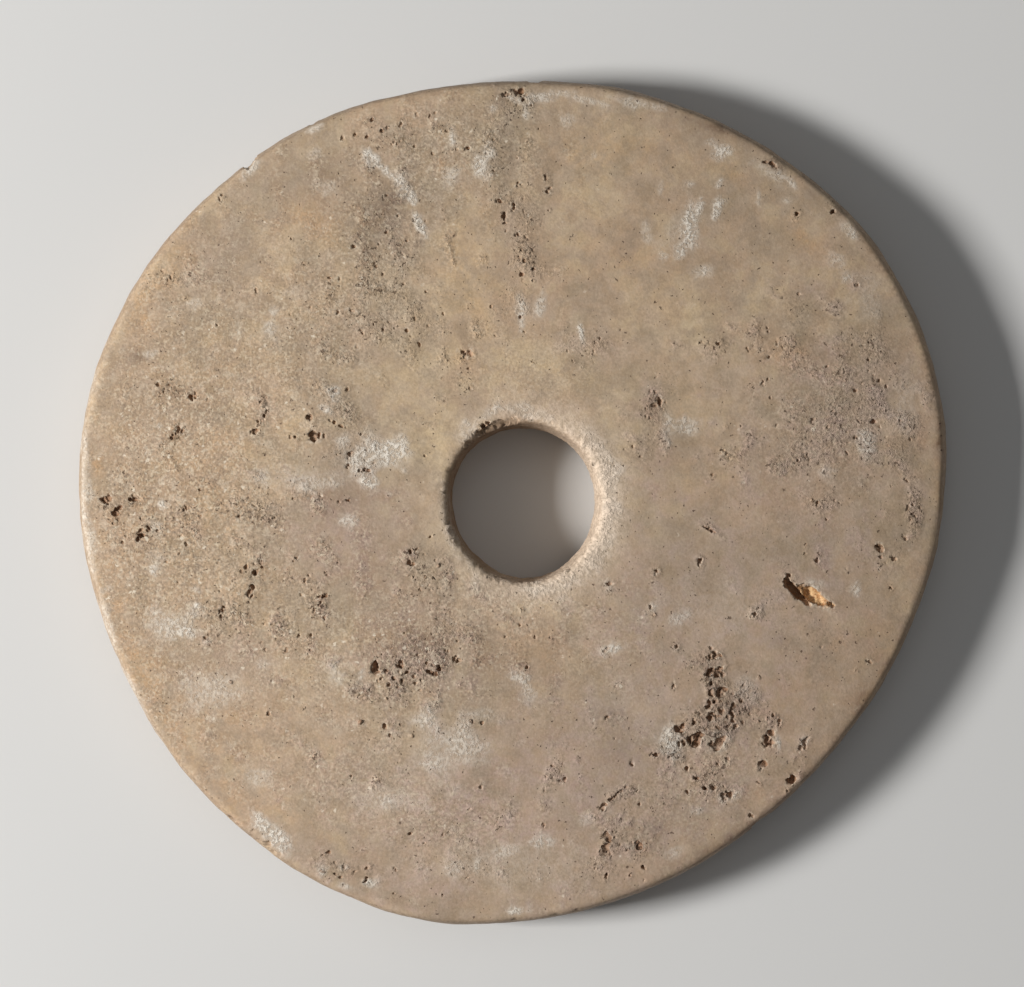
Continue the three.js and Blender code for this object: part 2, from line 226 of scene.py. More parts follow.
# %% Middling pits, 3 to 5 dots across: across, down, size
small_pits = [
    (256, 290, 5), (216, 324, 4), (291, 239, 4), (303, 263, 5), (186, 297, 4), (416, 113, 6), (430, 115, 4),
    (446, 130, 5), (454, 149, 5), (468, 148, 6), (494, 171, 4), (528, 155, 4), (518, 157, 5), (507, 147, 4),
    (512, 211, 5), (549, 210, 4), (516, 236, 6), (525, 236, 4), (522, 275, 5), (533, 281, 4), (525, 262, 5),
    (519, 258, 4), (491, 307, 4), (403, 254, 5), (376, 266, 6), (383, 274, 5), (366, 301, 4), (415, 318, 5),
    (391, 323, 5), (426, 292, 4), (404, 284, 5), (379, 243, 5), (387, 195, 5), (461, 362, 4), (443, 210, 4),
    (445, 218, 4), (574, 362, 6), (533, 363, 4), (582, 367, 4), (442, 378, 4), (372, 196, 4), (368, 189, 4),
    (391, 143, 4), (397, 142, 4), (381, 130, 5), (387, 127, 5), (366, 137, 4), (343, 138, 6), (354, 135, 4),
    (768, 331, 6), (777, 344, 6), (783, 347, 4), (747, 349, 5), (717, 343, 6), (722, 341, 4), (700, 343, 5),
    (870, 343, 5), (763, 381, 6), (768, 379, 4), (856, 284, 6), (646, 408, 5), (650, 399, 4), (645, 418, 4),
    (655, 393, 4), (662, 410, 5), (600, 340, 3), (608, 343, 3), (595, 342, 3), (344, 427, 4), (335, 392, 6),
    (347, 389, 6), (324, 409, 5), (290, 436, 5), (295, 437, 4), (261, 403, 4), (267, 398, 4), (168, 390, 5),
    (176, 387, 4), (185, 392, 4), (160, 393, 4), (118, 465, 4), (100, 505, 5), (140, 518, 4), (179, 554, 4),
    (201, 516, 4), (200, 490, 4), (183, 533, 4), (295, 499, 4), (339, 502, 5), (349, 500, 6), (246, 500, 5),
    (234, 510, 4), (252, 518, 5), (260, 516, 5), (240, 495, 4), (258, 503, 4), (248, 489, 4), (276, 517, 4),
    (235, 581, 4), (211, 612, 4), (235, 613, 4), (222, 616, 5), (296, 557, 5), (293, 560, 4), (327, 547, 4),
    (338, 563, 4), (304, 583, 6), (306, 580, 4), (314, 610, 5), (325, 618, 5), (299, 636, 4), (286, 651, 6),
    (205, 638, 4), (210, 645, 4), (264, 649, 5), (262, 642, 4), (231, 682, 4), (269, 712, 5), (361, 721, 5),
    (401, 724, 4), (391, 735, 5), (412, 734, 4), (315, 752, 4), (315, 757, 3), (351, 776, 5), (374, 777, 5),
    (381, 780, 5), (373, 786, 4), (376, 781, 3), (426, 844, 4), (449, 832, 6), (394, 869, 6), (394, 894, 5),
    (327, 853, 5), (323, 855, 4), (335, 863, 4), (336, 875, 5), (323, 872, 5), (343, 866, 5), (365, 869, 5),
    (354, 873, 4), (387, 670, 5), (405, 633, 5), (377, 639, 4), (426, 639, 5), (415, 641, 4), (430, 651, 5),
    (392, 648, 5), (403, 652, 4), (418, 655, 5), (395, 656, 4), (383, 676, 5), (389, 685, 5), (407, 672, 6),
    (411, 667, 4), (416, 684, 5), (402, 679, 4), (378, 681, 4), (400, 697, 4), (421, 680, 4), (412, 690, 4),
    (436, 655, 4), (446, 650, 5), (459, 640, 5), (443, 640, 4), (461, 648, 4), (413, 594, 4), (421, 590, 4),
    (429, 585, 4), (425, 576, 4), (440, 588, 4), (418, 548, 4), (426, 456, 3), (470, 388, 5), (436, 413, 3),
    (445, 401, 4), (527, 667, 6), (522, 608, 4), (522, 611, 3), (550, 637, 3), (605, 650, 5), (616, 685, 6),
    (606, 718, 6), (552, 766, 5), (564, 780, 6), (556, 758, 3), (560, 770, 4), (551, 774, 4), (562, 764, 4),
    (545, 790, 6), (481, 786, 6), (470, 809, 5), (543, 825, 5), (467, 878, 4), (442, 895, 4), (630, 876, 4),
    (644, 869, 6), (683, 724, 6), (696, 779, 5), (683, 734, 5), (609, 583, 7), (650, 608, 6), (653, 615, 4),
    (817, 559, 6), (804, 554, 4), (806, 546, 4), (753, 613, 6), (757, 609, 5), (757, 616, 6), (750, 616, 5),
    (906, 479, 5), (892, 486, 4), (909, 492, 3), (906, 539, 5), (893, 589, 5), (896, 559, 6), (847, 571, 4),
    (871, 662, 6), (857, 671, 3), (767, 718, 4), (773, 715, 4), (777, 718, 4), (779, 726, 4), (744, 684, 5),
    (727, 744, 5), (727, 759, 6), (657, 755, 6), (669, 757, 5), (720, 655, 5), (751, 815, 6), (759, 678, 4),
    (727, 726, 5), (736, 726, 6), (728, 717, 5), (717, 727, 5), (724, 722, 4), (742, 722, 5), (708, 717, 4),
    (700, 715, 5), (720, 702, 4), (740, 700, 4), (746, 707, 4), (739, 712, 4), (719, 735, 4), (705, 729, 4),
    (726, 454, 5), (721, 450, 4), (729, 458, 4), (712, 475, 4), (726, 427, 4), (741, 426, 4), (770, 398, 4),
    (798, 460, 5), (803, 456, 4), (811, 423, 4), (802, 452, 4), (817, 505, 5), (812, 500, 4), (822, 506, 4),
    (911, 507, 4), (913, 514, 4), (908, 509, 4), (917, 517, 4), (922, 508, 4), (919, 503, 3), (911, 520, 4),
    (621, 792, 5), (632, 842, 4), (613, 832, 4), (601, 853, 4), (608, 858, 4), (760, 783, 4), (788, 792, 4),
]
print(len(large_pits), "large pits and", len(small_pits), "middling ones")

# %% Swarms of specks: middle across and down, half length, half width, bearing, how many specks
speck_swarms = [
    (508, 110, 26, 18, 0, 40), (500, 150, 30, 30, 90, 45), (520, 210, 40, 24, 80, 60),
    (525, 262, 22, 14, 80, 30), (395, 135, 45, 20, 0, 50), (385, 200, 34, 30, 90, 45),
    (390, 265, 40, 36, 80, 70), (375, 330, 45, 30, 20, 50), (425, 330, 30, 26, 80, 30),
    (500, 320, 36, 24, 30, 24), (590, 345, 34, 12, 10, 34), (655, 405, 24, 16, 80, 40),
    (640, 450, 26, 20, 80, 24), (720, 345, 26, 12, 0, 20), (790, 350, 34, 14, -10, 34),
    (800, 310, 26, 20, 0, 18), (830, 430, 60, 40, 0, 90), (800, 460, 24, 12, 0, 24),
    (870, 350, 30, 26, 90, 40), (730, 455, 16, 14, 0, 18), (820, 504, 18, 12, 0, 26),
    (915, 511, 14, 12, 90, 24), (900, 450, 30, 26, 90, 24), (170, 390, 30, 12, 0, 40),
    (175, 435, 20, 12, 50, 20), (172, 280, 26, 12, -10, 30), (120, 500, 34, 22, 90, 40),
    (150, 530, 26, 16, 40, 24), (190, 520, 26, 16, 90, 22), (250, 507, 28, 18, 0, 60),
    (250, 575, 28, 18, 70, 36), (262, 410, 24, 14, 80, 20), (300, 500, 40, 14, 0, 26),
    (330, 410, 24, 24, 0, 34), (350, 450, 30, 24, 30, 46), (310, 590, 34, 22, 70, 46),
    (215, 625, 24, 20, 0, 30), (290, 640, 40, 16, -20, 30), (410, 660, 40, 28, 10, 110),
    (445, 630, 26, 26, 40, 50), (395, 690, 26, 10, 0, 26), (425, 575, 30, 22, 60, 60),
    (470, 720, 30, 14, 0, 26), (385, 740, 30, 24, 40, 22), (340, 868, 30, 10, -10, 26),
    (430, 840, 40, 30, 0, 26), (480, 870, 40, 14, 0, 18), (555, 772, 18, 10, 70, 26),
    (500, 820, 20, 16, 0, 16), (608, 842, 16, 12, 90, 36), (640, 850, 16, 12, 90, 20),
    (600, 870, 36, 12, 0, 24), (600, 730, 36, 26, 0, 20), (725, 712, 26, 24, 60, 60),
    (700, 660, 22, 12, 30, 24), (670, 750, 20, 10, 20, 30), (725, 760, 14, 12, 0, 20),
    (710, 790, 26, 12, 0, 30), (770, 720, 16, 8, 0, 12), (745, 690, 14, 14, 0, 12),
    (770, 600, 30, 20, 0, 20), (890, 560, 26, 20, 90, 20), (650, 800, 40, 30, 0, 22),
    (830, 640, 30, 20, 0, 12), (460, 380, 30, 20, 0, 20), (610, 590, 10, 12, 0, 10),
    (520, 640, 30, 30, 0, 26), (720, 860, 40, 14, 20, 10), (860, 400, 60, 50, 90, 100),
    (200, 560, 60, 50, 0, 40), (330, 300, 60, 50, 0, 60),
]

# %% Chips at the rim: bearing, length along the edge, bite, lowest and highest point, in mm
rim_chips = [
    (128.2, 15, 4.2, -4, 84), (86.6, 9, 2.2, 8, 72), (203, 7, 1.6, 6, 70), (234.2, 24, 7, 37, 60),
    (271.2, 12, 3.4, 36, 60), (278.8, 9, 3.6, 36, 60), (307.3, 18, 2.6, 6, 74), (236.5, 10, 5, 36, 47),
    (229.5, 13, 5, 35, 50), (276.0, 5, 3, 34, 44), (118, 6, 1.2, 20, 46), (72, 9, 2.0, 34, 46),
    (38, 7, 1.6, 32, 44), (8, 9, 1.8, 30, 44), (352, 6, 1.2, 28, 42), (328, 8, 2.0, 32, 44),
    (152, 5, 1.2, 34, 46), (178, 6, 1.4, 34, 48), (258, 6, 1.6, 34, 46), (20, 12, 1.6, 2, 22),
    (96, 14, 2.0, 0, 18), (165, 12, 1.8, 2, 20), (221, 16, 2.2, 0, 18), (291, 12, 1.8, 2, 20),
    (341, 14, 2.0, 0, 18),
]
# The broken ledge at the hole's lip: bearing, length along the lip, width and depth, in mm
lip_ledge = (113, 33, 6.5, 5)
print(len(rim_chips), "chips at the rim")

# %% [markdown]
# ## Clouds, stains and frost
#
# The colour isn't even. Grey bands follow the stone's old layers, rust and rose stains follow water, and
# pale frost marks the places where crystals were bruised or broken open. Each is a soft patch, placed one by
# one and painted later on the mesh as a number per point, because a pattern from noise alone would put
# them in the wrong places.

# %% Soft patches: middle across and down, half length, half width, bearing of the length, strength
frost_patches = [
    (674, 232, 26, 16, 60, 0.22), (640, 102, 34, 5, -10, 0.5), (560, 92, 20, 4, 0, 0.5),
    (770, 172, 20, 5, -40, 0.35), (905, 405, 16, 30, 0, 0.25), (870, 300, 14, 24, 0, 0.25),
    (717, 613, 50, 34, 0, 0.16), (629, 705, 40, 40, 0, 0.12), (509, 865, 80, 28, 0, 0.2),
    (443, 750, 36, 34, 0, 0.3), (388, 800, 16, 34, 90, 0.3), (300, 478, 44, 15, 0, 0.24),
    (607, 470, 30, 11, 100, 0.6), (609, 515, 30, 11, 85, 0.6), (594, 558, 24, 10, 50, 0.55),
    (560, 584, 24, 8, 20, 0.5), (592, 440, 20, 9, 125, 0.45), (455, 545, 26, 7, -60, 0.3),
    (444, 500, 24, 6, 90, 0.3), (271, 833, 22, 10, -46, 0.9), (515, 912, 9, 5, 0, 0.8),
    (252, 166, 12, 5, 45, 0.7), (370, 458, 30, 22, 30, 0.5), (540, 96, 16, 5, 0, 0.6),
    (590, 100, 30, 4, -12, 0.5), (395, 450, 12, 16, 90, 0.7), (83, 450, 40, 4, 88, 0.5),
    (88, 545, 50, 5, 98, 0.5), (106, 625, 40, 5, 108, 0.5), (132, 695, 34, 5, 118, 0.45),
    (160, 745, 20, 4, 126, 0.4), (88, 385, 30, 4, 78, 0.4), (108, 320, 30, 4, 66, 0.35),
    (388, 455, 16, 11, 70, 1.0), (360, 457, 20, 15, 20, 0.6), (344, 440, 12, 9, 0, 0.5),
    (371, 482, 12, 6, 10, 0.7), (346, 521, 9, 6, 0, 0.6), (319, 483, 26, 8, 0, 0.35),
    (266, 481, 9, 7, 0, 0.4), (336, 392, 8, 6, 40, 0.8), (325, 409, 9, 4, -30, 0.7),
    (159, 426, 4, 3, 0, 0.9), (162, 504, 6, 4, 0, 0.8), (156, 527, 9, 6, 90, 0.4),
    (152, 571, 5, 4, 90, 0.8), (155, 561, 12, 9, 90, 0.35), (196, 605, 3, 3, 0, 1.0),
    (198, 590, 5, 4, -30, 0.5), (172, 627, 26, 18, 10, 0.6), (187, 632, 10, 6, 0, 0.5),
    (217, 689, 32, 20, 10, 0.45), (263, 664, 9, 6, 0, 0.4), (336, 676, 14, 10, 90, 0.4),
    (362, 674, 7, 5, 90, 0.6), (422, 720, 12, 8, 0, 0.5), (255, 779, 12, 12, 0, 0.45),
    (464, 745, 26, 18, 0, 0.45), (434, 762, 18, 10, 0, 0.4), (387, 802, 6, 6, 0, 0.6),
    (368, 883, 7, 5, 0, 0.9), (323, 871, 4, 5, 0, 0.7), (343, 868, 6, 4, 0, 0.5),
    (345, 886, 10, 3, -20, 0.6), (452, 871, 12, 8, 0, 0.4), (477, 867, 10, 4, 90, 0.5),
    (368, 152, 9, 5, -45, 0.9), (376, 158, 8, 5, -50, 0.9), (388, 172, 14, 5, -50, 0.8),
    (400, 179, 6, 5, 0, 0.5), (413, 200, 9, 4, -70, 0.8), (420, 224, 16, 4, -62, 0.95),
    (452, 139, 9, 4, 90, 0.7), (479, 164, 15, 9, 90, 0.8), (489, 153, 8, 5, 0, 0.7),
    (454, 174, 12, 9, 50, 0.5), (514, 98, 10, 5, -30, 0.6), (525, 115, 7, 4, 90, 0.6),
    (493, 108, 4, 4, 0, 0.6), (567, 119, 9, 7, 0, 0.4), (594, 154, 4, 4, 0, 0.5),
    (541, 306, 14, 6, 80, 0.6), (521, 317, 20, 4, 90, 0.6), (581, 331, 13, 3, -80, 0.85),
    (726, 148, 11, 8, 0, 0.75), (711, 141, 9, 5, 0, 0.4), (690, 215, 13, 6, 80, 0.9),
    (700, 206, 14, 4, 80, 0.9), (717, 210, 13, 5, 70, 0.9), (690, 235, 14, 9, 80, 0.85),
    (680, 252, 6, 6, 0, 0.75), (664, 256, 7, 4, 0, 0.6), (704, 271, 9, 7, 0, 0.6),
    (721, 181, 7, 3, 70, 0.75), (691, 183, 4, 4, 0, 0.5), (645, 233, 12, 7, 90, 0.35),
    (661, 187, 9, 3, 80, 0.35), (759, 197, 12, 3, 90, 0.5), (792, 182, 12, 5, -40, 0.6),
    (788, 200, 6, 4, 0, 0.4), (852, 234, 6, 6, 0, 1.0), (847, 226, 8, 8, 0, 0.4), (840, 261, 8, 7, 0, 0.45),
    (847, 277, 4, 5, 0, 0.6), (865, 439, 12, 13, 0, 0.6), (687, 428, 13, 12, 0, 0.6),
    (670, 423, 16, 6, -70, 0.5), (826, 472, 14, 8, 0, 0.3), (677, 619, 13, 5, 20, 0.45),
    (858, 589, 8, 4, 80, 0.6), (815, 585, 9, 5, -20, 0.55), (614, 648, 12, 6, 10, 0.8),
    (608, 585, 7, 8, 0, 0.35), (653, 607, 6, 5, 0, 0.5), (517, 677, 12, 4, -10, 0.6),
    (530, 693, 10, 9, 0, 0.45), (527, 687, 6, 4, 0, 0.5), (482, 714, 22, 9, 0, 0.35),
    (540, 842, 18, 6, 5, 0.55), (507, 851, 20, 7, 10, 0.4), (671, 740, 15, 13, 60, 0.75),
    (676, 852, 12, 7, 25, 0.4), (748, 686, 14, 14, 0, 0.3), (720, 745, 13, 11, 0, 0.35),
    (729, 797, 10, 6, 20, 0.55), (697, 812, 6, 4, 0, 0.5), (779, 742, 8, 3, 90, 0.7),
    (805, 742, 6, 4, 60, 0.6), (584, 821, 8, 6, 0, 0.35), (329, 189, 14, 7, -20, 0.3),
    (315, 152, 8, 5, 10, 0.3), (312, 128, 9, 4, 20, 0.6), (269, 328, 10, 9, 0, 0.5),
    (273, 311, 6, 6, 0, 0.5), (195, 302, 10, 7, 20, 0.4), (148, 354, 9, 5, 0, 0.5),
    (290, 292, 10, 5, 20, 0.25), (88, 489, 16, 5, 90, 0.5), (93, 540, 20, 4, 95, 0.4),
    (103, 590, 10, 3, 20, 0.5), (469, 432, 14, 7, 55, 0.5), (488, 414, 16, 6, 30, 0.55),
    (515, 409, 18, 6, 0, 0.45), (545, 415, 14, 6, -15, 0.5), (505, 578, 22, 6, -15, 0.4),
    (535, 587, 20, 5, 5, 0.5), (470, 560, 18, 6, -60, 0.35),
]
# The widest cloud, over the left half, is partly the stone's greyer tone and partly painted shade that tones
# down the side nearest the light.
grey_clouds_and_shade = [
    (324, 175, 50, 24, 22, 0.6), (420, 640, 50, 34, 0, 0.5), (345, 500, 40, 40, 0, 0.4),
    (509, 663, 40, 20, 0, 0.4), (714, 138, 30, 14, -30, 0.4), (240, 650, 60, 40, 0, 0.3),
    (365, 250, 50, 30, 60, 0.35), (385, 700, 40, 24, 0, 0.4), (140, 500, 230, 90, 85, 0.55),
    (405, 590, 120, 60, -45, 0.35), (470, 670, 60, 36, 0, 0.4), (320, 190, 34, 24, 0, 0.45),
    (290, 500, 40, 30, 0, 0.25), (233, 240, 30, 22, 40, 0.8), (225, 278, 20, 22, 0, 0.8),
    (200, 290, 22, 12, -20, 0.6), (270, 187, 18, 10, 0, 0.5), (385, 202, 34, 26, 60, 0.8),
    (372, 235, 30, 30, 0, 0.4), (408, 250, 34, 20, 80, 0.45), (350, 320, 60, 26, 15, 0.45),
    (395, 140, 40, 22, 0, 0.5), (440, 190, 60, 20, 80, 0.45), (505, 140, 60, 22, 88, 0.6),
    (515, 240, 50, 18, 85, 0.55), (430, 330, 26, 26, 30, 0.4), (330, 390, 40, 24, 0, 0.4),
    (340, 455, 40, 30, 10, 0.45), (195, 405, 26, 14, 0, 0.5), (137, 357, 14, 10, 0, 0.8),
    (150, 540, 26, 20, 30, 0.35), (640, 600, 50, 40, 30, 0.55), (690, 560, 44, 40, 0, 0.5),
    (740, 560, 50, 34, 0, 0.3), (650, 660, 50, 40, 20, 0.5), (600, 740, 60, 46, 70, 0.6),
    (590, 800, 50, 40, 20, 0.5), (640, 760, 50, 40, 20, 0.6), (535, 880, 44, 22, 5, 0.3),
    (600, 880, 50, 20, 10, 0.35), (700, 800, 60, 36, 20, 0.5), (722, 714, 40, 34, 70, 0.7),
    (745, 684, 14, 14, 0, 0.8), (840, 420, 60, 46, 0, 0.6), (880, 360, 40, 34, 90, 0.55),
    (780, 460, 60, 24, 0, 0.45), (870, 500, 46, 40, 0, 0.15), (771, 642, 30, 20, 0, 0.6),
    (690, 232, 30, 26, 60, 0.4), (770, 165, 26, 10, -32, 0.6), (820, 205, 36, 8, -48, 0.5),
    (700, 125, 26, 8, -22, 0.5), (660, 470, 50, 30, 80, 0.3), (460, 740, 50, 40, 10, 0.3),
    (670, 740, 22, 20, 40, 0.6), (805, 560, 40, 30, 0, 0.35), (860, 560, 40, 34, 90, 0.35),
]
warm_stains = [
    (339, 493, 44, 34, 0, 0.35), (362, 578, 44, 34, 0, 0.2), (509, 663, 44, 20, 0, 0.2),
    (120, 590, 150, 40, 100, 0.3), (495, 430, 30, 8, 28, 0.9), (525, 420, 20, 5, 0, 0.7),
    (866, 705, 40, 12, 57, 0.7), (885, 650, 30, 12, 66, 0.4), (170, 500, 260, 130, 85, 0.4),
    (319, 223, 22, 18, 20, 0.6), (300, 205, 40, 26, 20, 0.35), (137, 317, 24, 16, 65, 0.7),
    (175, 262, 40, 18, 55, 0.45), (99, 466, 14, 10, 80, 0.9), (93, 520, 16, 8, 90, 0.6),
    (126, 630, 26, 10, -70, 0.9), (142, 672, 24, 9, -65, 0.9), (163, 712, 26, 10, -60, 0.9),
    (188, 755, 22, 8, -50, 0.6), (215, 720, 50, 36, -45, 0.45), (230, 800, 40, 14, -42, 0.6),
    (300, 820, 60, 12, -32, 0.45), (441, 156, 16, 3, 90, 1.0), (464, 262, 60, 26, 80, 0.4),
    (480, 300, 40, 30, 30, 0.3), (737, 177, 26, 10, -30, 0.6), (804, 238, 26, 10, -40, 0.6),
    (590, 150, 60, 26, 0, 0.35), (640, 260, 60, 40, 0, 0.3), (922, 434, 26, 7, 88, 0.8),
    (939, 480, 40, 4, 90, 0.5), (790, 355, 36, 15, -10, 0.9), (838, 646, 12, 8, 10, 0.9),
    (757, 794, 12, 10, 0, 0.6), (712, 769, 12, 9, 0, 0.7), (785, 695, 36, 30, 20, 0.5),
    (680, 400, 40, 26, 80, 0.3), (700, 480, 40, 30, 0, 0.3), (554, 853, 6, 4, 40, 0.7),
    (738, 654, 6, 6, 0, 0.5), (255, 521, 8, 6, 0, 0.5), (535, 640, 40, 20, 0, 0.3),
    (500, 655, 26, 14, 0, 0.5), (560, 655, 30, 16, 10, 0.4), (430, 700, 20, 12, 0, 0.4),
    (270, 600, 40, 20, 80, 0.3), (220, 440, 30, 16, 10, 0.3), (200, 470, 26, 12, 0, 0.25),
    (467, 358, 10, 10, 0, 0.6), (510, 421, 10, 4, 10, 0.9), (400, 640, 60, 20, 0, 0.3),
    (660, 150, 40, 12, -10, 0.3), (866, 640, 40, 18, 60, 0.4),
]
rose_stains = [
    (740, 600, 120, 110, 0, 0.35), (594, 640, 40, 30, 0, 0.4), (717, 373, 50, 34, 0, 0.5),
    (850, 390, 70, 60, 90, 0.5), (400, 800, 90, 60, -20, 0.35), (730, 700, 170, 150, 40, 0.5),
    (540, 820, 200, 110, 0, 0.75), (840, 470, 100, 140, 90, 0.35), (345, 512, 50, 46, 0, 0.5),
    (250, 655, 50, 30, 0, 0.4), (330, 560, 40, 40, 0, 0.3), (405, 610, 50, 26, 0, 0.4),
    (457, 783, 34, 34, 0, 0.6), (430, 888, 40, 14, -5, 0.7), (480, 830, 50, 30, 0, 0.35),
    (530, 800, 30, 40, 0, 0.35), (410, 660, 50, 30, 10, 0.7), (360, 660, 30, 14, 0, 0.4),
    (808, 292, 12, 9, 0, 0.8), (825, 350, 20, 12, 0, 0.7), (820, 375, 40, 22, 0, 0.4),
    (650, 400, 20, 14, 80, 0.8), (660, 455, 24, 14, 80, 0.6), (590, 345, 40, 14, 0, 0.5),
    (602, 300, 40, 22, 0, 0.25), (915, 505, 20, 14, 90, 0.6), (856, 284, 8, 6, 0, 0.7),
    (363, 472, 10, 6, 0, 0.6), (265, 410, 20, 10, 80, 0.4), (300, 540, 60, 40, 0, 0.35),
    (360, 540, 50, 40, 0, 0.35), (740, 625, 36, 10, 10, 0.5), (760, 690, 20, 20, 0, 0.3),
    (730, 780, 22, 16, 60, 0.4), (675, 855, 14, 8, 20, 0.6), (700, 770, 16, 10, 60, 0.4),
    (330, 860, 60, 14, -22, 0.5), (740, 500, 60, 20, 0, 0.3), (860, 520, 40, 20, 0, 0.3),
    (395, 575, 16, 16, 0, 0.5), (470, 470, 30, 14, 80, 0.3), (630, 560, 30, 20, 60, 0.3),
    (200, 265, 30, 12, 40, 0.3), (520, 780, 30, 20, 0, 0.3),
]
cream_clouds = [
    (424, 346, 44, 26, 0, 0.5), (870, 700, 30, 10, 57, 0.5), (717, 373, 40, 24, 20, 0.55),
    (770, 650, 36, 20, 20, 0.3), (424, 446, 30, 28, 0, 0.85), (520, 872, 70, 34, 0, 0.4),
    (715, 385, 50, 30, 20, 0.55), (725, 625, 40, 26, 20, 0.4), (830, 690, 30, 24, 50, 0.3),
    (880, 510, 30, 40, 90, 0.45), (464, 262, 46, 30, 80, 0.8), (440, 300, 40, 30, 20, 0.6),
    (520, 360, 44, 26, 0, 0.55), (687, 336, 38, 26, 80, 0.9), (650, 300, 40, 30, 20, 0.5),
    (590, 200, 60, 30, 85, 0.35), (560, 380, 40, 20, 0, 0.5), (610, 430, 34, 14, -70, 0.5),
    (610, 520, 40, 12, 80, 0.5), (480, 250, 30, 14, 80, 0.5), (295, 410, 14, 22, 0, 0.7),
    (240, 460, 60, 26, 0, 0.25), (190, 560, 40, 40, 0, 0.2), (280, 620, 60, 30, 0, 0.2),
    (300, 670, 50, 24, 0, 0.3), (200, 640, 40, 30, 0, 0.15), (420, 420, 34, 22, 30, 0.5),
    (440, 480, 40, 18, 80, 0.5), (560, 610, 40, 16, 0, 0.45), (590, 660, 40, 16, 10, 0.4),
    (420, 740, 40, 30, 0, 0.45), (370, 720, 40, 24, 0, 0.35), (90, 400, 60, 10, 76, 0.7),
    (120, 330, 40, 10, 62, 0.6), (160, 265, 40, 8, 52, 0.6), (90, 560, 50, 10, 100, 0.5),
    (770, 300, 34, 22, 0, 0.3), (838, 320, 34, 26, 0, 0.45), (765, 660, 20, 12, 30, 0.4),
    (640, 790, 30, 12, 20, 0.4), (690, 850, 50, 10, 22, 0.35), (900, 600, 36, 16, 75, 0.3),
    (720, 480, 30, 16, 0, 0.3), (400, 380, 40, 26, 0, 0.35), (340, 250, 30, 20, 60, 0.3),
]
# The thin bands along the rim on the right are painted shade on the side away from the light; the rest are
# stains in the stone.
dark_stains_and_rim_shade = [
    (339, 493, 44, 34, 0, 0.36), (362, 578, 44, 34, 0, 0.27), (424, 640, 44, 26, 0, 0.43),
    (509, 663, 44, 20, 0, 0.36), (389, 285, 44, 34, 0, 0.14), (354, 225, 34, 34, 0, 0.14),
    (324, 173, 40, 22, 22, 0.2), (205, 665, 60, 40, -60, 0.24), (509, 590, 30, 10, 0, 0.22),
    (864, 700, 44, 8, 57, 0.65), (720, 845, 60, 9, 28, 0.65), (714, 138, 26, 12, -30, 0.2),
    (389, 701, 40, 30, 0, 0.1), (139, 493, 60, 40, 90, 0.08), (509, 905, 60, 10, 0, 0.12),
    (304, 138, 44, 14, 30, 0.12), (390, 205, 36, 30, 60, 0.3), (488, 431, 26, 5, 30, 0.5),
    (512, 423, 14, 3, 0, 0.5), (385, 200, 22, 14, 60, 0.6), (375, 240, 16, 16, 0, 0.15),
    (700, 122, 30, 6, -20, 0.9), (740, 139, 24, 5, -28, 0.6), (773, 162, 10, 4, -32, 0.9),
    (812, 192, 14, 3, -44, 0.6), (837, 211, 5, 4, 0, 0.9), (940, 443, 20, 3, 88, 0.9),
    (942, 485, 40, 3, 90, 0.7), (402, 655, 44, 28, 10, 0.22), (385, 668, 16, 10, 0, 0.2),
    (168, 390, 22, 9, 0, 0.5), (138, 357, 10, 8, 0, 0.7), (118, 505, 16, 16, 0, 0.35),
    (352, 452, 12, 9, 0, 0.5), (505, 98, 20, 8, 0, 0.5), (575, 362, 10, 8, 0, 0.5),
    (654, 405, 12, 14, 0, 0.5), (640, 846, 14, 10, 90, 0.5), (607, 842, 14, 9, 90, 0.4),
    (650, 830, 30, 8, 20, 0.3), (606, 716, 12, 8, 0, 0.4), (625, 740, 26, 20, 0, 0.2),
    (720, 712, 26, 20, 60, 0.45), (707, 665, 14, 12, 90, 0.5), (786, 643, 14, 6, -20, 0.25),
    (930, 580, 30, 4, 80, 0.6), (895, 660, 40, 4, 66, 0.5), (850, 730, 50, 4, 52, 0.6),
    (790, 800, 50, 4, 42, 0.7), (745, 833, 14, 4, 38, 0.9), (700, 858, 4, 40, 28, 0.4),
    (250, 572, 18, 16, 70, 0.25), (256, 520, 10, 8, 0, 0.5), (205, 410, 20, 8, 10, 0.3),
    (172, 437, 14, 9, 50, 0.4), (545, 183, 14, 6, 80, 0.3), (500, 212, 14, 10, 60, 0.4),
    (825, 356, 14, 8, 0, 0.35),
]
sugary_zones = [
    (180, 500, 270, 120, 84, 1.0), (390, 650, 130, 80, 10, 0.8), (330, 300, 180, 80, 60, 0.5),
    (450, 150, 90, 60, 0, 0.7), (540, 380, 60, 40, 0, 0.4), (600, 640, 80, 60, 0, 0.3),
    (700, 780, 90, 60, 30, 0.4), (400, 800, 140, 50, -20, 0.6), (820, 420, 90, 70, 80, 0.4),
    (520, 600, 70, 24, 0, 0.6),
]
ochre_stains = [(815, 596, 19, 8, -28, 1.0), (826, 602, 10, 8, -20, 1.0)]
print(len(frost_patches + grey_clouds_and_shade + warm_stains + rose_stains + cream_clouds + dark_stains_and_rim_shade), "patches")

# %% [markdown]
# ## A mesh that is fine only where it has to be
#
# Small holes need triangles half a millimetre long, and the plain ground face does well with ones of three.
# A grid of one spacing would need millions, so the grid starts coarse and every edge that is longer than
# wanted at its place is cut in half, again and again. The cuts are made for whole arrays of triangles at
# once.

# %% How long an edge may be, on a map of the face with cells of one millimetre
map_half = 260
plain_edge, edge_growth, growth_reach = 3.7, 0.85, 6
edge_map = np.full((2 * map_half, 2 * map_half), plain_edge)


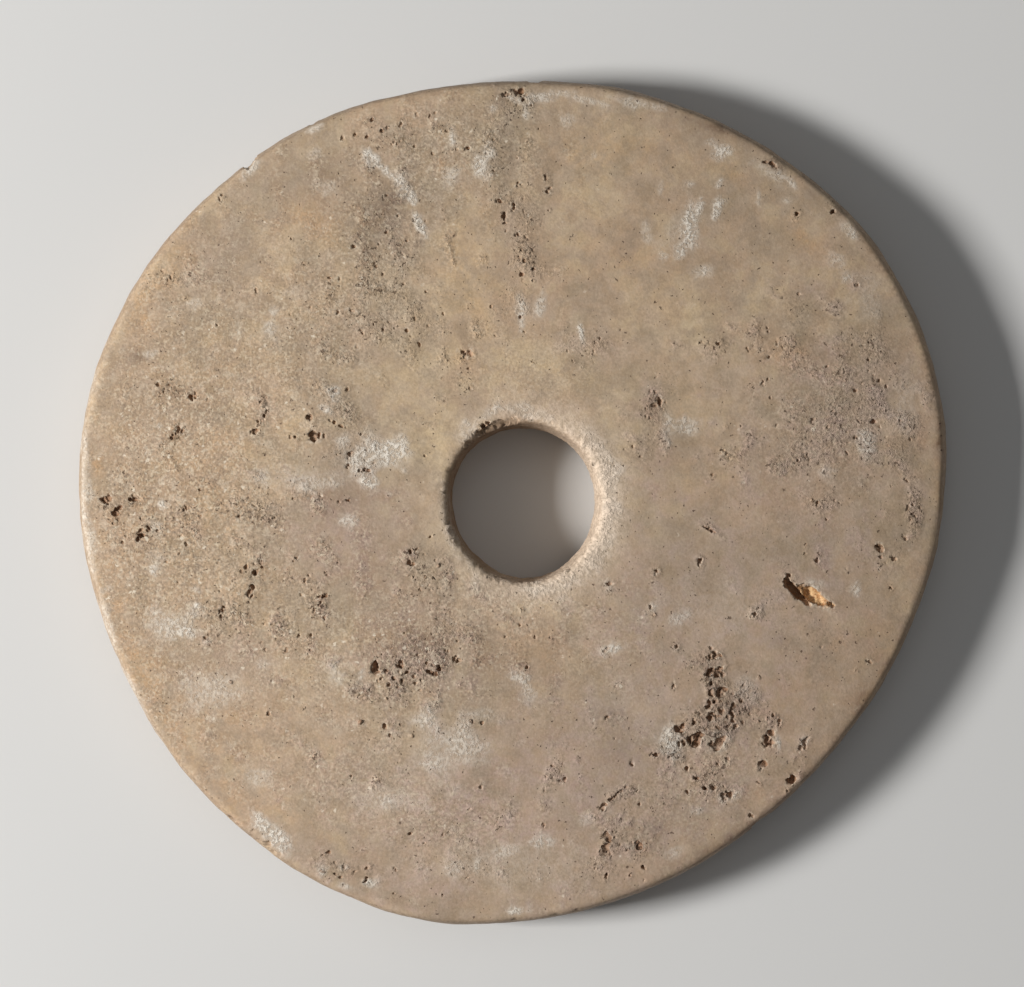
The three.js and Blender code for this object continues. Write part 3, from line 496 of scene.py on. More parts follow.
def want_fine(x, y, half_long, half_wide, bearing, edge):
    """Asks for short edges in an ellipse, and for edges that grow with each millimetre outside it."""
    reach = int(half_long + growth_reach)
    column, row = int(x) + map_half, int(y) + map_half
    rows, columns = (slice(max(cell - reach, 0), min(cell + reach, 2 * map_half)) for cell in (row, column))
    dy, dx = np.mgrid[rows, columns].astype(float) + 0.5 - map_half
    along, aside = along_aside(dx - x, dy - y, bearing)
    ratio = np.hypot(along / half_long, aside / half_wide)
    outside = np.maximum(ratio - 1, 0) * half_wide
    edge_map[rows, columns] = np.minimum(edge_map[rows, columns], edge + edge_growth * outside)


# %% Specks drawn at random
random_draw = np.random.default_rng(11)
drawn_share = 0.16


def drawn_specks():
    """A share of the specks of each swarm, thick in its middle and thin at its edge. Pin holes in the finish
    stand for the others."""
    specks = []
    for across, down, half_long, half_wide, bearing, count in speck_swarms:
        a, b = random_draw.normal(0, 0.5, (2, int(count * drawn_share)))
        specks.append(np.stack(moved_in_picture(across, down, a * half_long, b * half_wide, bearing), -1))
    return np.concatenate(specks)


# %% All hollows in the face, in millimetres: x, y, half length, half width, bearing, depth
part_along, part_aside, part_size, part_turn, part_depth = 0.42, 0.38, (0.45, 0.8), 35, (0.55, 1.0)


def broken_pit(across, down, length, width, bearing, depth, parts):
    """A pit is never a clean egg: it is several small hollows that have run together along its length."""
    rows = []
    for number in range(parts):
        along = random_draw.uniform(-part_along, part_along) * length if number else 0
        aside = random_draw.uniform(-part_aside, part_aside) * width if number else 0
        size = random_draw.uniform(*part_size, 2)
        rows.append((*on_face(*moved_in_picture(across, down, along, aside, bearing)),
                     length * size[0] / 2, width * size[1] / 2,
                     bearing + random_draw.uniform(-part_turn, part_turn),
                     depth * random_draw.uniform(*part_depth)))
    return rows


pit_depth_share, wide_pit_area, wide_parts, plain_parts, small_parts = 0.6, 50, 5, 3, 2
small_stretch, small_width, small_depth = (0.9, 1.3), 0.85, (0.3, 0.55)
speck_size, speck_stretch, speck_depth = (0.95, 0.25), (0.7, 1.5), (0.35, 0.7)


def face_hollows():
    """The slot and the large, middling and drawn pits as one array."""
    rows = [(*on_face(across, down), length / 2, width / 2, bearing, depth)
            for across, down, length, width, bearing, depth in long_slot]
    for across, down, length, width, bearing, depth in large_pits:
        parts = wide_parts if length * width > wide_pit_area else plain_parts
        rows += broken_pit(across, down, length, width, bearing, depth * pit_depth_share, parts)
    for across, down, size in small_pits:
        rows += broken_pit(across, down, size * random_draw.uniform(*small_stretch), size * small_width,
                           random_draw.uniform(0, 180), size * random_draw.uniform(*small_depth), small_parts)
    for across, down in drawn_specks():
        size, stretch = random_draw.lognormal(*speck_size), random_draw.uniform(*speck_stretch)
        rows.append((*on_face(across, down), size / 2 * stretch, size / 2 / stretch,
                     random_draw.uniform(0, 180), size * random_draw.uniform(*speck_depth)))
    rows = np.array(rows)
    rows[:, [2, 3, 5]] *= picture_scale
    return rows


hollows = face_hollows()
print(len(hollows), "hollows, the widest", round(float(2 * hollows[:, 3].max()), 1), "mm wide")

# %% Short edges at the hollows, the patches, the deep chips and the hole's lip
hollow_edges, patch_edges, chip_edge, mouth_edge = (0.57, 0.82), (1.8, 3.2), 1.3, 1.6
deep_bite, chip_depth = 4, 2
hole_in_plan, mouth_out, mouth_band, mouth_growth = (6.5, 0.4), 4, 3, 0.7
for x, y, half_long, half_wide, bearing, depth in hollows:
    want_fine(x, y, half_long, half_wide, bearing, np.clip(0.5 * half_wide, *hollow_edges))
for across, down, half_long, half_wide, bearing, strength in frost_patches + dark_stains_and_rim_shade + ochre_stains:
    want_fine(*on_face(across, down), half_long * face_scale, half_wide * face_scale, bearing,
              np.clip(0.5 * half_wide * face_scale, *patch_edges))
for bearing, length, bite, bottom, top in rim_chips:
    if bite >= deep_bite:
        angle = np.radians(bearing)
        radius = swollen(mean_radius, outline_swells, angle) - chip_depth
        want_fine(*(radius * toward(angle) + ring_shift), length / 2, bite, bearing + 90, chip_edge)
rows, columns = np.mgrid[:2 * map_half, :2 * map_half] + 0.5 - map_half
from_mouth = np.abs(np.hypot(columns - hole_in_plan[0], rows - hole_in_plan[1]) - waist_radius - mouth_out)
edge_map = np.minimum(edge_map, mouth_edge + mouth_growth * np.maximum(from_mouth - mouth_band, 0))
print("finest wanted edge", round(float(edge_map.min()), 2), "mm")


# %% Cutting long edges in half
underside_top, underside_edge = 2.5, 9.0
side_top, side_edge, side_coarser = 26, 3.6, 1.4
slack = 1.35


def split_long_edges(turn, way, triangles, passes=9):
    """Halves every edge that is longer than the edge wanted at its middle. A triangle with one, two or three
    halved edges becomes two, three or four triangles."""
    def middle(a, b):
        wave = np.exp(2j * np.pi * a) + np.exp(2j * np.pi * b)
        return np.angle(wave) / (2 * np.pi) % 1

    for _ in range(passes):
        points = ring_surface(turn, way)
        sides = np.stack([triangles, np.roll(triangles, -1, 1)], -1)
        keys = np.sort(sides, -1)
        keys = keys[..., 0] * len(turn) + keys[..., 1]
        unique, index = np.unique(keys, return_inverse=True)
        index = index.reshape(keys.shape)
        first, second = unique // len(turn), unique % len(turn)
        centre = (points[first] + points[second]) / 2
        cells = np.clip(np.floor(centre[:, :2]).astype(int) + map_half, 0, 2 * map_half - 1)
        wanted = edge_map[cells[:, 1], cells[:, 0]]
        wanted = np.where(centre[:, 2] < side_top, np.minimum(wanted * side_coarser, side_edge), wanted)
        wanted = np.where(centre[:, 2] < underside_top, underside_edge, wanted)
        cut = np.linalg.norm(points[first] - points[second], axis=1) > wanted * slack
        if not cut.any():
            break
        number = np.full(len(unique), -1)
        number[cut] = len(turn) + np.arange(cut.sum())
        turn = np.concatenate([turn, middle(turn[first[cut]], turn[second[cut]])])
        way = np.concatenate([way, middle(way[first[cut]], way[second[cut]])])
        marks = number[index]
        how_many = (marks >= 0).sum(1)
        made = [triangles[how_many == 0]]
        for count in (1, 2, 3):
            chosen = how_many == count
            corner, mark = triangles[chosen], marks[chosen]
            if count == 1:
                shift = np.argmax(mark >= 0, 1)
            elif count == 2:
                shift = (np.argmin(mark >= 0, 1) + 1) % 3
            else:
                shift = np.zeros(len(mark), int)
            order = (shift[:, None] + np.arange(3)) % 3
            a, b, c = np.take_along_axis(corner, order, 1).T
            ab, bc, ca = np.take_along_axis(mark, order, 1).T
            if count == 1:
                parts = [(a, ab, c), (ab, b, c)]
            elif count == 2:
                parts = [(ab, b, bc), (a, ab, bc), (a, bc, c)]
            else:
                parts = [(a, ab, ca), (ab, b, bc), (ca, bc, c), (ab, bc, ca)]
            made += [np.stack(part, -1) for part in parts]
        triangles = np.concatenate(made)
    return turn, way, triangles


turns, ways = 192, 72
i, j = np.meshgrid(np.arange(turns), np.arange(ways), indexing="ij")
corner = [(i + a) % turns * ways + (j + b) % ways for a, b in ((0, 0), (1, 0), (1, 1), (0, 1))]
triangles = np.concatenate([np.stack([corner[0], corner[1], corner[2]], -1).reshape(-1, 3),
                            np.stack([corner[0], corner[2], corner[3]], -1).reshape(-1, 3)])
turn, way, triangles = split_long_edges(i.ravel() / turns, j.ravel() / ways, triangles)
skin = ring_surface(turn, way)
print(len(skin), "points and", len(triangles), "triangles")

# %% [markdown]
# ## The relief
#
# Hand grinding leaves a face that isn't quite even. Three sets of low waves give it that. Then the chips in
# the rim and the broken ledge are pushed in, the hole's lip is nicked and made crumbly, and last come the
# pits.


# %% Waves for the uneven face and for ragged edges
def waves(points, length, seed, count=28):
    """The sum of many cosines with directions at random and wavelengths near the given one, scaled to a
    spread of one."""
    draw = np.random.default_rng(seed)
    direction = draw.normal(size=(3, count))
    direction /= np.linalg.norm(direction, axis=0)
    numbers = direction * 2 * np.pi / (length * draw.uniform(0.7, 1.5, count))
    return np.cos(points @ numbers + draw.uniform(0, 2 * np.pi, count)).sum(1) * np.sqrt(2 / count)


def point_normals(points, triangles):
    """Each point's normal: the sum of the cross products of the triangles around it, scaled to one."""
    a, b, c = (points[triangles[:, k]] for k in range(3))
    face = np.cross(b - a, c - a)
    total = np.stack([sum(np.bincount(triangles[:, k], face[:, axis], len(points)) for k in range(3))
                      for axis in range(3)], -1)
    return total / np.linalg.norm(total, axis=1, keepdims=True)


normals = point_normals(skin, triangles)
smooth_skin = skin.copy()
sideness = 1 - np.abs(normals[:, 2])
swell = 0.30 * waves(skin, 75, 1) + 0.13 * waves(skin, 26, 2)
swell = swell + 0.045 * waves(skin, 9, 3) * (0.4 + sideness * 1.6)
resting = np.clip((skin[:, 2] - 0.6) / 3, 0, 1)
skin = skin + normals * (swell * resting)[:, None]
print("uneven by", round(float(np.abs(swell * resting).max()), 2), "mm at most")


# %% Pushing hollows into the skin
def plan_parameters(x, y):
    """The angle and the way out of a point in plan, found in six steps from half way between hole and rim."""
    spot, out = np.array([x, y]) - ring_shift, 0.5
    for _ in range(6):
        leg = spot - np.array(hole_middle) * (1 - out)
        angle = np.arctan2(leg[1], leg[0])
        inner, outer = swollen(waist_radius, hole_swells, angle), swollen(mean_radius, outline_swells, angle)
        out = (np.hypot(*leg) - inner) / (outer - inner)
    return angle, out


def face_height(x, y):
    """The height of the smooth upper face over a point in plan."""
    angle, out = plan_parameters(x, y)
    return upper_height(out) + swollen(0, rim_height_swells, angle) * out**2


order_across = np.argsort(skin[:, 0])
sorted_across = skin[order_across, 0]
moved_most, least_ratio = 8, 0.12


def push_out(points, middle, halves, bearing, ragged, level=False):
    """Moves each point inside an egg-shaped lump straight away from its middle to its surface. The lump's
    size goes up and down with the ragged number of each point. A level push keeps each point at its height
    and moves it away from the lump's upright axis. Only points in a band across the stone are tried."""
    reach = max(halves) * 1.5
    band = [middle[0] - reach - moved_most, middle[0] + reach + moved_most]
    first, last = np.searchsorted(sorted_across, band)
    near = order_across[first:last]
    near = near[np.abs(points[near] - middle).max(1) < reach]
    offset = points[near] - middle
    local = np.stack([*along_aside(offset[:, 0], offset[:, 1], bearing), offset[:, 2]], -1) / halves
    ratio = np.linalg.norm(local, axis=1)
    if level:
        ratio = np.hypot(local[:, 0], local[:, 1]) / np.sqrt(np.clip(1 - local[:, 2] ** 2, 1e-4, 1))
        offset[:, 2] = 0
    ratio = ratio * (1 + ragged[near])
    inside = ratio < 1
    points[near[inside]] += offset[inside] * (1 / np.maximum(ratio[inside], least_ratio) - 1)[:, None]
    return near, ratio


# %% Chips in the rim
rough_coarse, rough_fine = waves(skin, 6, 4), waves(skin, 2.0, 5)
chip_reach, top_chip_bottom = 0.58, 35
for bearing, length, bite, bottom, top in rim_chips:
    angle = np.radians(bearing)
    radius = swollen(mean_radius, outline_swells, angle) + bite
    middle = np.array([*(radius * toward(angle) + ring_shift), (top + bottom) / 2])
    push_out(skin, middle, (chip_reach * length, 2 * bite, chip_reach * (top - bottom)), bearing + 90,
             0.10 * rough_coarse + 0.03 * rough_fine, level=bottom < top_chip_bottom)
print("after the chips, the lowest point is at", round(float(skin[:, 2].min()), 2), "mm")


# %% The hole's lip: a broken ledge, nicks and crumbs
def around_hole(points):
    """Each point's angle round the hole's middle, and how far it lies in plan beyond the hole's waist."""
    leg = points[:, :2] - np.array(hole_middle) - ring_shift
    angle = np.arctan2(leg[:, 1], leg[:, 0])
    return angle, np.hypot(*leg.T) - swollen(waist_radius, hole_swells, angle)


def lip_wear(points, outside, inside, evenness):
    """How much of the hole's lip is worn: a bell over the distance from the mouth, with one width outside it
    and one inside. It is strongest on the right, unless its evenness is 1. The right of the lip faces the
    light, so where this lays the pale lip colour, that colour is partly a painted highlight."""
    angle, beyond = around_hole(points)
    beyond = beyond - mouth_out
    width = np.where(beyond > 0, outside, inside)
    share = evenness + (1 - evenness) * np.cos(angle + 0.1)
    return np.exp(-(beyond / width) ** 2) * share * (points[:, 2] > waist_height - 1)


def near_lip(angle, outward, above):
    """A point over the hole's lip, so far outward from it in plan and above the face."""
    radius = swollen(waist_radius, hole_swells, angle) + upper_flare + outward
    plan = np.array(hole_middle) + radius * toward(angle) + ring_shift
    return np.array([*plan, thickness_at_hole + above])


bearing, length, width, depth = lip_ledge
ledge_inward, ledge_above = 3, 2
push_out(skin, near_lip(np.radians(bearing), -ledge_inward, ledge_above),
         (length / 2, width, depth + ledge_above), bearing + 90, 0.05 * rough_coarse + 0.03 * rough_fine)
nick_draw = np.random.default_rng(21)
nicks, least_nick, most_nick = 70, (1.2, 0.7, 1.0), (4.2, 1.8, 2.2)
for _ in range(nicks):
    angle = nick_draw.uniform(0, 2 * np.pi)
    middle = near_lip(angle, nick_draw.uniform(-0.8, 1.8), nick_draw.uniform(-1.5, 0.5))
    halves = nick_draw.uniform(least_nick, most_nick)
    push_out(skin, middle, halves, np.degrees(angle) + 90 + nick_draw.uniform(-30, 30), 0.15 * rough_fine)
crumb_height = 0.16
crumble = np.clip(crumb_height * rough_coarse + crumb_height * rough_fine, -0.5, 0.3)
skin = skin + normals * (crumble * lip_wear(smooth_skin, 4, 5, 0.8))[:, None]
print("crumbs up to", round(float(np.abs(crumble).max()), 2), "mm high or deep")

# %% The pits in the face
chipped = skin.copy()
pit_sink, pit_swelling, slot_half_length = 0.8, 1.1, 9
lumpy_half_width, edged_half_width = 1.5, 0.9
pit_edge_glint = np.zeros(len(skin))
for x, y, half_long, half_wide, bearing, depth in hollows:
    middle = np.array([x, y, face_height(x, y) + depth * pit_sink])
    halves = np.array([half_long * pit_swelling, half_wide * pit_swelling, depth * (1 + pit_sink)])
    jag = 0.07 if half_long > slot_half_length else 0.2
    lumpy = jag * rough_coarse if half_wide > lumpy_half_width else 0
    ragged = np.clip(lumpy + jag * rough_fine, -0.28, 0.6)
    near, ratio = push_out(skin, middle, halves, bearing, ragged)
    # A pale edge round each wider pit: partly broken crystal, partly a painted highlight where light catches
    # the rim.
    if half_wide > edged_half_width:
        pit_edge_glint[near] = np.maximum(pit_edge_glint[near], np.clip(1.2 - np.abs(ratio - 1.1) / 0.22, 0, 1))
pushed = np.linalg.norm(skin - chipped, axis=1)
print(int((pushed > 0.3).sum()), "points pushed in, at most", round(float(pushed.max()), 1), "mm")


# %% Numbers painted on the points
def patch_strength(points, patches, ragged, flatness=1):
    """How strongly a set of patches covers each point: each patch is a bell over an ellipse with a ragged
    edge, and overlapping patches cover what the others leave bare. More flatness gives a bell a wider top."""
    bare, widen = np.ones(len(points)), 1.1 * (1 + ragged) ** 2 / face_scale**2
    for across, down, half_long, half_wide, bearing, strength in patches:
        x, y = on_face(across, down)
        along, aside = along_aside(points[:, 0] - x, points[:, 1] - y, bearing)
        square = (along / half_long) ** 2 + (aside / half_wide) ** 2
        bare *= 1 - min(strength, 0.98) * np.exp(-(square * widen) ** flatness)
    return (1 - bare) * np.clip(points[:, 2] / 12 - 1.2, 0, 1)


def hole_wall_shade(points):
    """Painted shade on the hole's wall below the lip, strongest on the upper left, the side away from the
    light.
    """
    angle, beyond = around_hole(points)
    return np.clip((4.5 - beyond) / 2, 0, 1) * np.clip(0.45 - 0.55 * np.cos(angle + 0.6), 0, 1)


# Each patch has a ragged edge. Porous and crusted ground reaches a little past its pits.
edge_wobble = np.clip(0.20 * waves(smooth_skin, 16, 6) + 0.10 * waves(smooth_skin, 6, 7), -0.5, 0.8)
painted = {
    "frost": patch_strength(smooth_skin, [(*patch[:5], min(patch[5] * 1.15, 1)) for patch in frost_patches],
                            edge_wobble, 1.8),
    # Grey clouds, partly painted shade over the left half.
    "grey_and_shade": patch_strength(smooth_skin, grey_clouds_and_shade, edge_wobble),
    "warm": patch_strength(smooth_skin, warm_stains, edge_wobble),
    "rose": patch_strength(smooth_skin, rose_stains, edge_wobble),
    "cream": patch_strength(smooth_skin, cream_clouds, edge_wobble),
    # Dark stains, together with painted shade on the rim's right side and on the hole's wall.
    "stain_and_shade": np.maximum(patch_strength(smooth_skin, dark_stains_and_rim_shade, edge_wobble), hole_wall_shade(smooth_skin)),
    "sugary": patch_strength(smooth_skin, sugary_zones, edge_wobble),
    "ochre": patch_strength(smooth_skin, ochre_stains, edge_wobble * 0.4),
    "porous": patch_strength(smooth_skin, [(*swarm[:2], swarm[2] * 1.15, swarm[3] * 1.15, swarm[4],
                                            min(0.2 + swarm[5] / (swarm[2] * swarm[3]) * 3, 0.9))
                                           for swarm in speck_swarms], edge_wobble),
    "crust": patch_strength(smooth_skin, [(*pit[:2], pit[2] * 1.1 + 2, pit[3] * 1.1 + 2, pit[4], 0.45)
                                          for pit in large_pits]
                            + [(across, down, size + 1, size + 1, 0, 0.4)
                               for across, down, size in small_pits], edge_wobble),
    # The pale worn lip, strongest on the right where it faces the light: partly wear, partly painted
    # highlight.
    "lip_wear_and_highlight": lip_wear(smooth_skin, 13, 6, 0.55),
    # Painted shade: this number darkens the steep sides, the rim and the hole's wall, by how far they face
    # sideways.
    "side": sideness,
    # Dirt in the pits, which also stands for the shade inside them: partly painted shade.
    "pit_dirt_and_shade": 1 - np.exp(-(pushed / 1.3) ** 1.5),
    # Pale pit edges, partly a painted highlight.
    "edge": pit_edge_glint,
}
print({name: round(float(values.mean()), 3) for name, values in painted.items()})

# %% The mesh object
mesh = bpy.data.meshes.new("stone_disc")
mesh.vertices.add(len(skin))
mesh.vertices.foreach_set("co", (skin * MM).astype(np.float32).ravel())
mesh.loops.add(triangles.size)
mesh.loops.foreach_set("vertex_index", triangles.astype(np.int32).ravel())
mesh.polygons.add(len(triangles))
mesh.polygons.foreach_set("loop_start", np.arange(0, triangles.size, 3, dtype=np.int32))
mesh.polygons.foreach_set("use_smooth", np.ones(len(triangles), bool))
mesh.update(calc_edges=True)
for name, values in painted.items():
    mesh.attributes.new(name, "FLOAT", "POINT").data.foreach_set("value", values.astype(np.float32))
stone = bpy.data.objects.new("stone_disc", mesh)
bpy.context.scene.collection.objects.link(stone)
first, second, third = (skin[triangles[:, corner]] for corner in range(3))
volume = np.einsum("ij,ij->i", first, np.cross(second, third)).sum() / 6
print("valid mesh:", not mesh.validate(verbose=False))
print("volume", round(float(volume) / 1e6, 2), "litres")
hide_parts("money_stone")
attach(stone, "root")

# %% [markdown]
# ## The stone's finish
#
# Cave limestone is a mass of small calcite crystals, slightly clear, stained by iron and clay. Its colour
# is built in layers: soft tan clouds, then the painted stains, some of them painted shade, then crystal
# grains painted with glints where they catch the light, then painted shade on the steep sides, frost on
# bruised places, painted highlights on the worn lip and the pit edges, and dirt with painted shade in the
# hollows, and last the pin holes, dark with dirt and painted shade. A picture of real stone would be
# quicker, but it would fit only this side of this stone.

# %% Helpers for the material's nodes
limestone = bpy.data.materials.new("cave_limestone")
limestone.use_nodes = True
nodes, links = limestone.node_tree.nodes, limestone.node_tree.links
nodes.clear()


def step(kind, inputs, output=0, **settings):
    """Adds one node. A socket's number or name maps to a plain value or to the output of an earlier node."""
    made = nodes.new(kind)
    for name, value in settings.items():
        setattr(made, name, value)
    for socket, value in inputs.items():
        if isinstance(value, bpy.types.NodeSocket):
            links.new(value, made.inputs[socket])
        else:
            made.inputs[socket].default_value = value
    return made.outputs[output]


def painted_number(name):
    """One of the numbers painted on the points."""
    return step("ShaderNodeAttribute", {}, "Fac", attribute_name=name, attribute_type="GEOMETRY")


def calculate(operation, a, b, clamp=False):
    """A sum of the named kind with two numbers, held between 0 and 1 where clamp is asked for."""
    return step("ShaderNodeMath", {0: a, 1: b}, operation=operation, use_clamp=clamp)


def times(a, b, clamp=False):
    """Two numbers multiplied."""
    return calculate("MULTIPLY", a, b, clamp)


def plus(a, b):
    """Two numbers added."""
    return calculate("ADD", a, b)


def minus(a, b):
    """The first number less the second."""
    return calculate("SUBTRACT", a, b)


def spread(value, low, high, to_low=0.0, to_high=1.0):
    """Takes the part of a value between low and high and spreads it smoothly over a new range."""
    return step("ShaderNodeMapRange", {"Value": value, 1: low, 2: high, 3: to_low, 4: to_high},
                interpolation_type="SMOOTHSTEP")


def blend(share, under, over):
    """Lays one colour over another by a share from 0 to 1."""
    return step("ShaderNodeMix", {0: share, 6: under, 7: over}, 2, data_type="RGBA", blend_type="MIX")


def noise(size_mm, detail, roughness, distortion=0.0):
    """Cloudy noise whose largest lumps are of the given size."""
    return step("ShaderNodeTexNoise", {"Vector": place, "Scale": 1 / (size_mm * MM), "Detail": detail,
                                       "Roughness": roughness, "Distortion": distortion}, "Fac")


place = step("ShaderNodeTexCoord", {}, "Object")
print("painted numbers:", ", ".join(painted))

# %% The colours of the stone, red, green and blue from 0 to 255 as they look on a screen
# The colour of the steep sides, the darkest stain, the pit dirt, the pin holes and in part the grey stand for
# painted shade; the crystal, worn lip and pit edge colours in part for painted highlights.
tones = {
    "tan": (162, 141, 118), "pale tan": (172, 148, 123), "warm tan": (174, 147, 122),
    "dull tan": (156, 138, 113), "pale mottle": (184, 161, 131), "dark mottle": (148, 128, 106),
    "cream": (192, 169, 135), "grey_and_shade": (146, 129, 112), "warm": (176, 139, 102), "rose": (167, 143, 129),
    "stain_and_shade": (96, 74, 57), "crystal": (232, 218, 195), "sugar": (208, 190, 162),
    "pale clump": (206, 189, 165), "dull clump": (146, 122, 92), "side": (132, 110, 90),
    "haze": (188, 174, 157), "frost": (222, 212, 197), "worn lip": (227, 204, 180), "rust": (170, 116, 62),
    "ochre": (222, 180, 126), "pit_dirt_and_shade_colour": (134, 94, 64), "pit edge": (208, 192, 170), "pin hole": (82, 60, 44),
}


def tone(name):
    """One of the colours as the amounts of light that the shader needs."""
    return (*((np.array(tones[name]) / 255) ** 2.2).round(4).tolist(), 1.0)


print(len(tones), "colours")

# %% Layer one: soft clouds of tan
cloud = noise(90, 2, 0.6, 0.4)
mottle = noise(20, 4, 0.62, 0.5)
fleck = noise(6, 4, 0.65)
grain = noise(1.5, 2, 0.6)
drift = noise(38, 3, 0.55, 0.8)
colour = blend(spread(cloud, 0.38, 0.62), tone("tan"), tone("pale tan"))
colour = blend(spread(drift, 0.5, 0.63, 0, 0.45), colour, tone("warm tan"))
colour = blend(spread(drift, 0.5, 0.37, 0, 0.5), colour, tone("dull tan"))
colour = blend(spread(mottle, 0.5, 0.62, 0, 0.55), colour, tone("pale mottle"))
colour = blend(spread(mottle, 0.5, 0.38, 0, 0.45), colour, tone("dark mottle"))

# %% Layer two: the painted clouds and stains, with some painted shade among them, each broken up by noise
patchy = spread(mottle, 0.38, 0.6, 0.5, 1.15)
speckled = spread(fleck, 0.38, 0.6, 0.6, 1.2)
painted_strengths = {"cream": 0.75, "grey_and_shade": 0.85, "warm": 0.6, "rose": 0.8, "stain_and_shade": 0.75}
# The darkest stain colour also lays painted shade on the rim's right side and the hole's wall, and the grey
# lays some over the left half.
for name, strength in painted_strengths.items():
    share = times(times(painted_number(name), strength), patchy, clamp=True)
    colour = blend(times(share, speckled, clamp=True), colour, tone(name))

# %% Layer three: grains of crystal, each a little lighter, darker or greyer than its neighbours
crust_here = painted_number("crust")
porous = calculate("MAXIMUM", painted_number("porous"), crust_here)
sugary = painted_number("sugary")
grain_depth = plus(spread(porous, 0, 0.7, 0.3, 1.6), times(sugary, 1.25))
brightness = plus(times(minus(grain, 0.5), grain_depth), times(minus(fleck, 0.5), 0.38))
colourfulness = spread(noise(9, 3, 0.6), 0.38, 0.62, 0.96, 1.04)
colour = step("ShaderNodeHueSaturation",
              {"Saturation": colourfulness, "Value": plus(brightness, 1.0), "Color": colour}, "Color")
shake = step("ShaderNodeTexNoise", {"Vector": place, "Scale": 1 / (1.6 * MM), "Detail": 1.0}, "Color")
shaken = step("ShaderNodeVectorMath", {0: shake, 1: (2.2 * MM, 2.2 * MM, 2.2 * MM), 2: place},
              operation="MULTIPLY_ADD")
crystals = step("ShaderNodeTexVoronoi", {"Vector": shaken, "Scale": 1 / (2.5 * MM), "Randomness": 1.0},
                "Distance")
crystal_number = step("ShaderNodeSeparateColor", {0: crystals.node.outputs["Color"]})
crystal_size = crystal_number.node.outputs[1]
crystal_number = plus(crystal_number, times(sugary, 0.14))
chosen = spread(plus(crystal_number, times(fleck, 0.5)), 1.26, 1.34)
reach = plus(crystals, times(minus(grain, 0.5), 1.7))
reach = plus(reach, times(crystal_size, 0.26))
# Painted highlights: pale crystal grains are laid into the colour as glints where crystals catch the light,
# most in the sugary zones.
crystal_and_glint = times(chosen, spread(reach, 0.62, 0.3))
colour = blend(times(crystal_and_glint, 0.7), colour, tone("crystal"))
sugar = times(spread(noise(1.9, 2, 0.5), 0.55, 0.64), plus(sugary, 0.15))
colour = blend(times(sugar, 0.5), colour, tone("sugar"))
clumps = noise(5, 4, 0.7, 0.6)
pale_clumps = times(spread(clumps, 0.53, 0.64), plus(sugary, 0.12))
colour = blend(times(pale_clumps, 0.42), colour, tone("pale clump"))
dull_clumps = times(spread(clumps, 0.47, 0.36), plus(sugary, 0.12))
colour = blend(times(dull_clumps, 0.4), colour, tone("dull clump"))

# %% Layer four: painted side shade, frost, painted highlights on the worn lip and pit edges, pit dirt and shade
crumbs = noise(2.2, 4, 0.7)
# Painted shade: the steep sides are laid over with a darker colour, broken up by the crumb noise.
side = times(spread(painted_number("side"), 0.05, 0.5), spread(crumbs, 0.38, 0.6, 0.7, 0.1))
colour = blend(side, colour, tone("side"))
frost = painted_number("frost")
haze = times(frost, speckled, clamp=True)
colour = blend(times(haze, 0.6), colour, tone("haze"))
frost_share = times(calculate("POWER", frost, 1.6), spread(crumbs, 0.42, 0.58, 0.05, 1.0))
colour = blend(frost_share, colour, tone("frost"))
stain_and_shade_here = painted_number("stain_and_shade")
# The worn lip's pale colour is partly a painted highlight on the side of the lip that faces the light.
lip_wear_and_highlight = times(painted_number("lip_wear_and_highlight"), spread(stain_and_shade_here, 0.1, 0.7, 1.0, 0.2))
lip_wear_and_highlight_share = times(lip_wear_and_highlight, spread(crumbs, 0.4, 0.6, 0.45, 1.15), clamp=True)
colour = blend(times(lip_wear_and_highlight_share, 0.88), colour, tone("worn lip"))
ochre = painted_number("ochre")
# The pits are laid over with a dark colour, partly real dirt and partly painted shade in the hollows.
pit_dirt_and_shade = painted_number("pit_dirt_and_shade")
golden = blend(spread(crumbs, 0.4, 0.6), tone("rust"), tone("ochre"))
pit_dirt_and_shade_colour = blend(ochre, tone("pit_dirt_and_shade_colour"), golden)
# Painted highlight: pale edges round the pits, partly real broken crystal.
edge = times(painted_number("edge"), spread(crumbs, 0.42, 0.58))
colour = blend(times(edge, 0.55), colour, tone("pit edge"))
colour = blend(times(pit_dirt_and_shade, 0.8), colour, pit_dirt_and_shade_colour)


# %% Pin holes and clefts, too small for the mesh, coloured dark: dirt and painted shade
def open_spots(pattern, bare_level, porous_level, soft):
    """One in the low spots of a noise, below a level that rises where the stone is porous."""
    level = spread(porous, 0, 1, bare_level, porous_level)
    return spread(minus(level, pattern), 0.0, soft)


clefts = open_spots(noise(3.4, 3, 0.6), 0.305, 0.425, 0.045)
pins = open_spots(noise(1.7, 1, 0.5), 0.25, 0.41, 0.06)
openings = calculate("MAXIMUM", clefts, pins)
# Painted shade and dirt: the pin holes and clefts are coloured dark.
colour = blend(times(openings, 0.7), colour, tone("pin hole"))

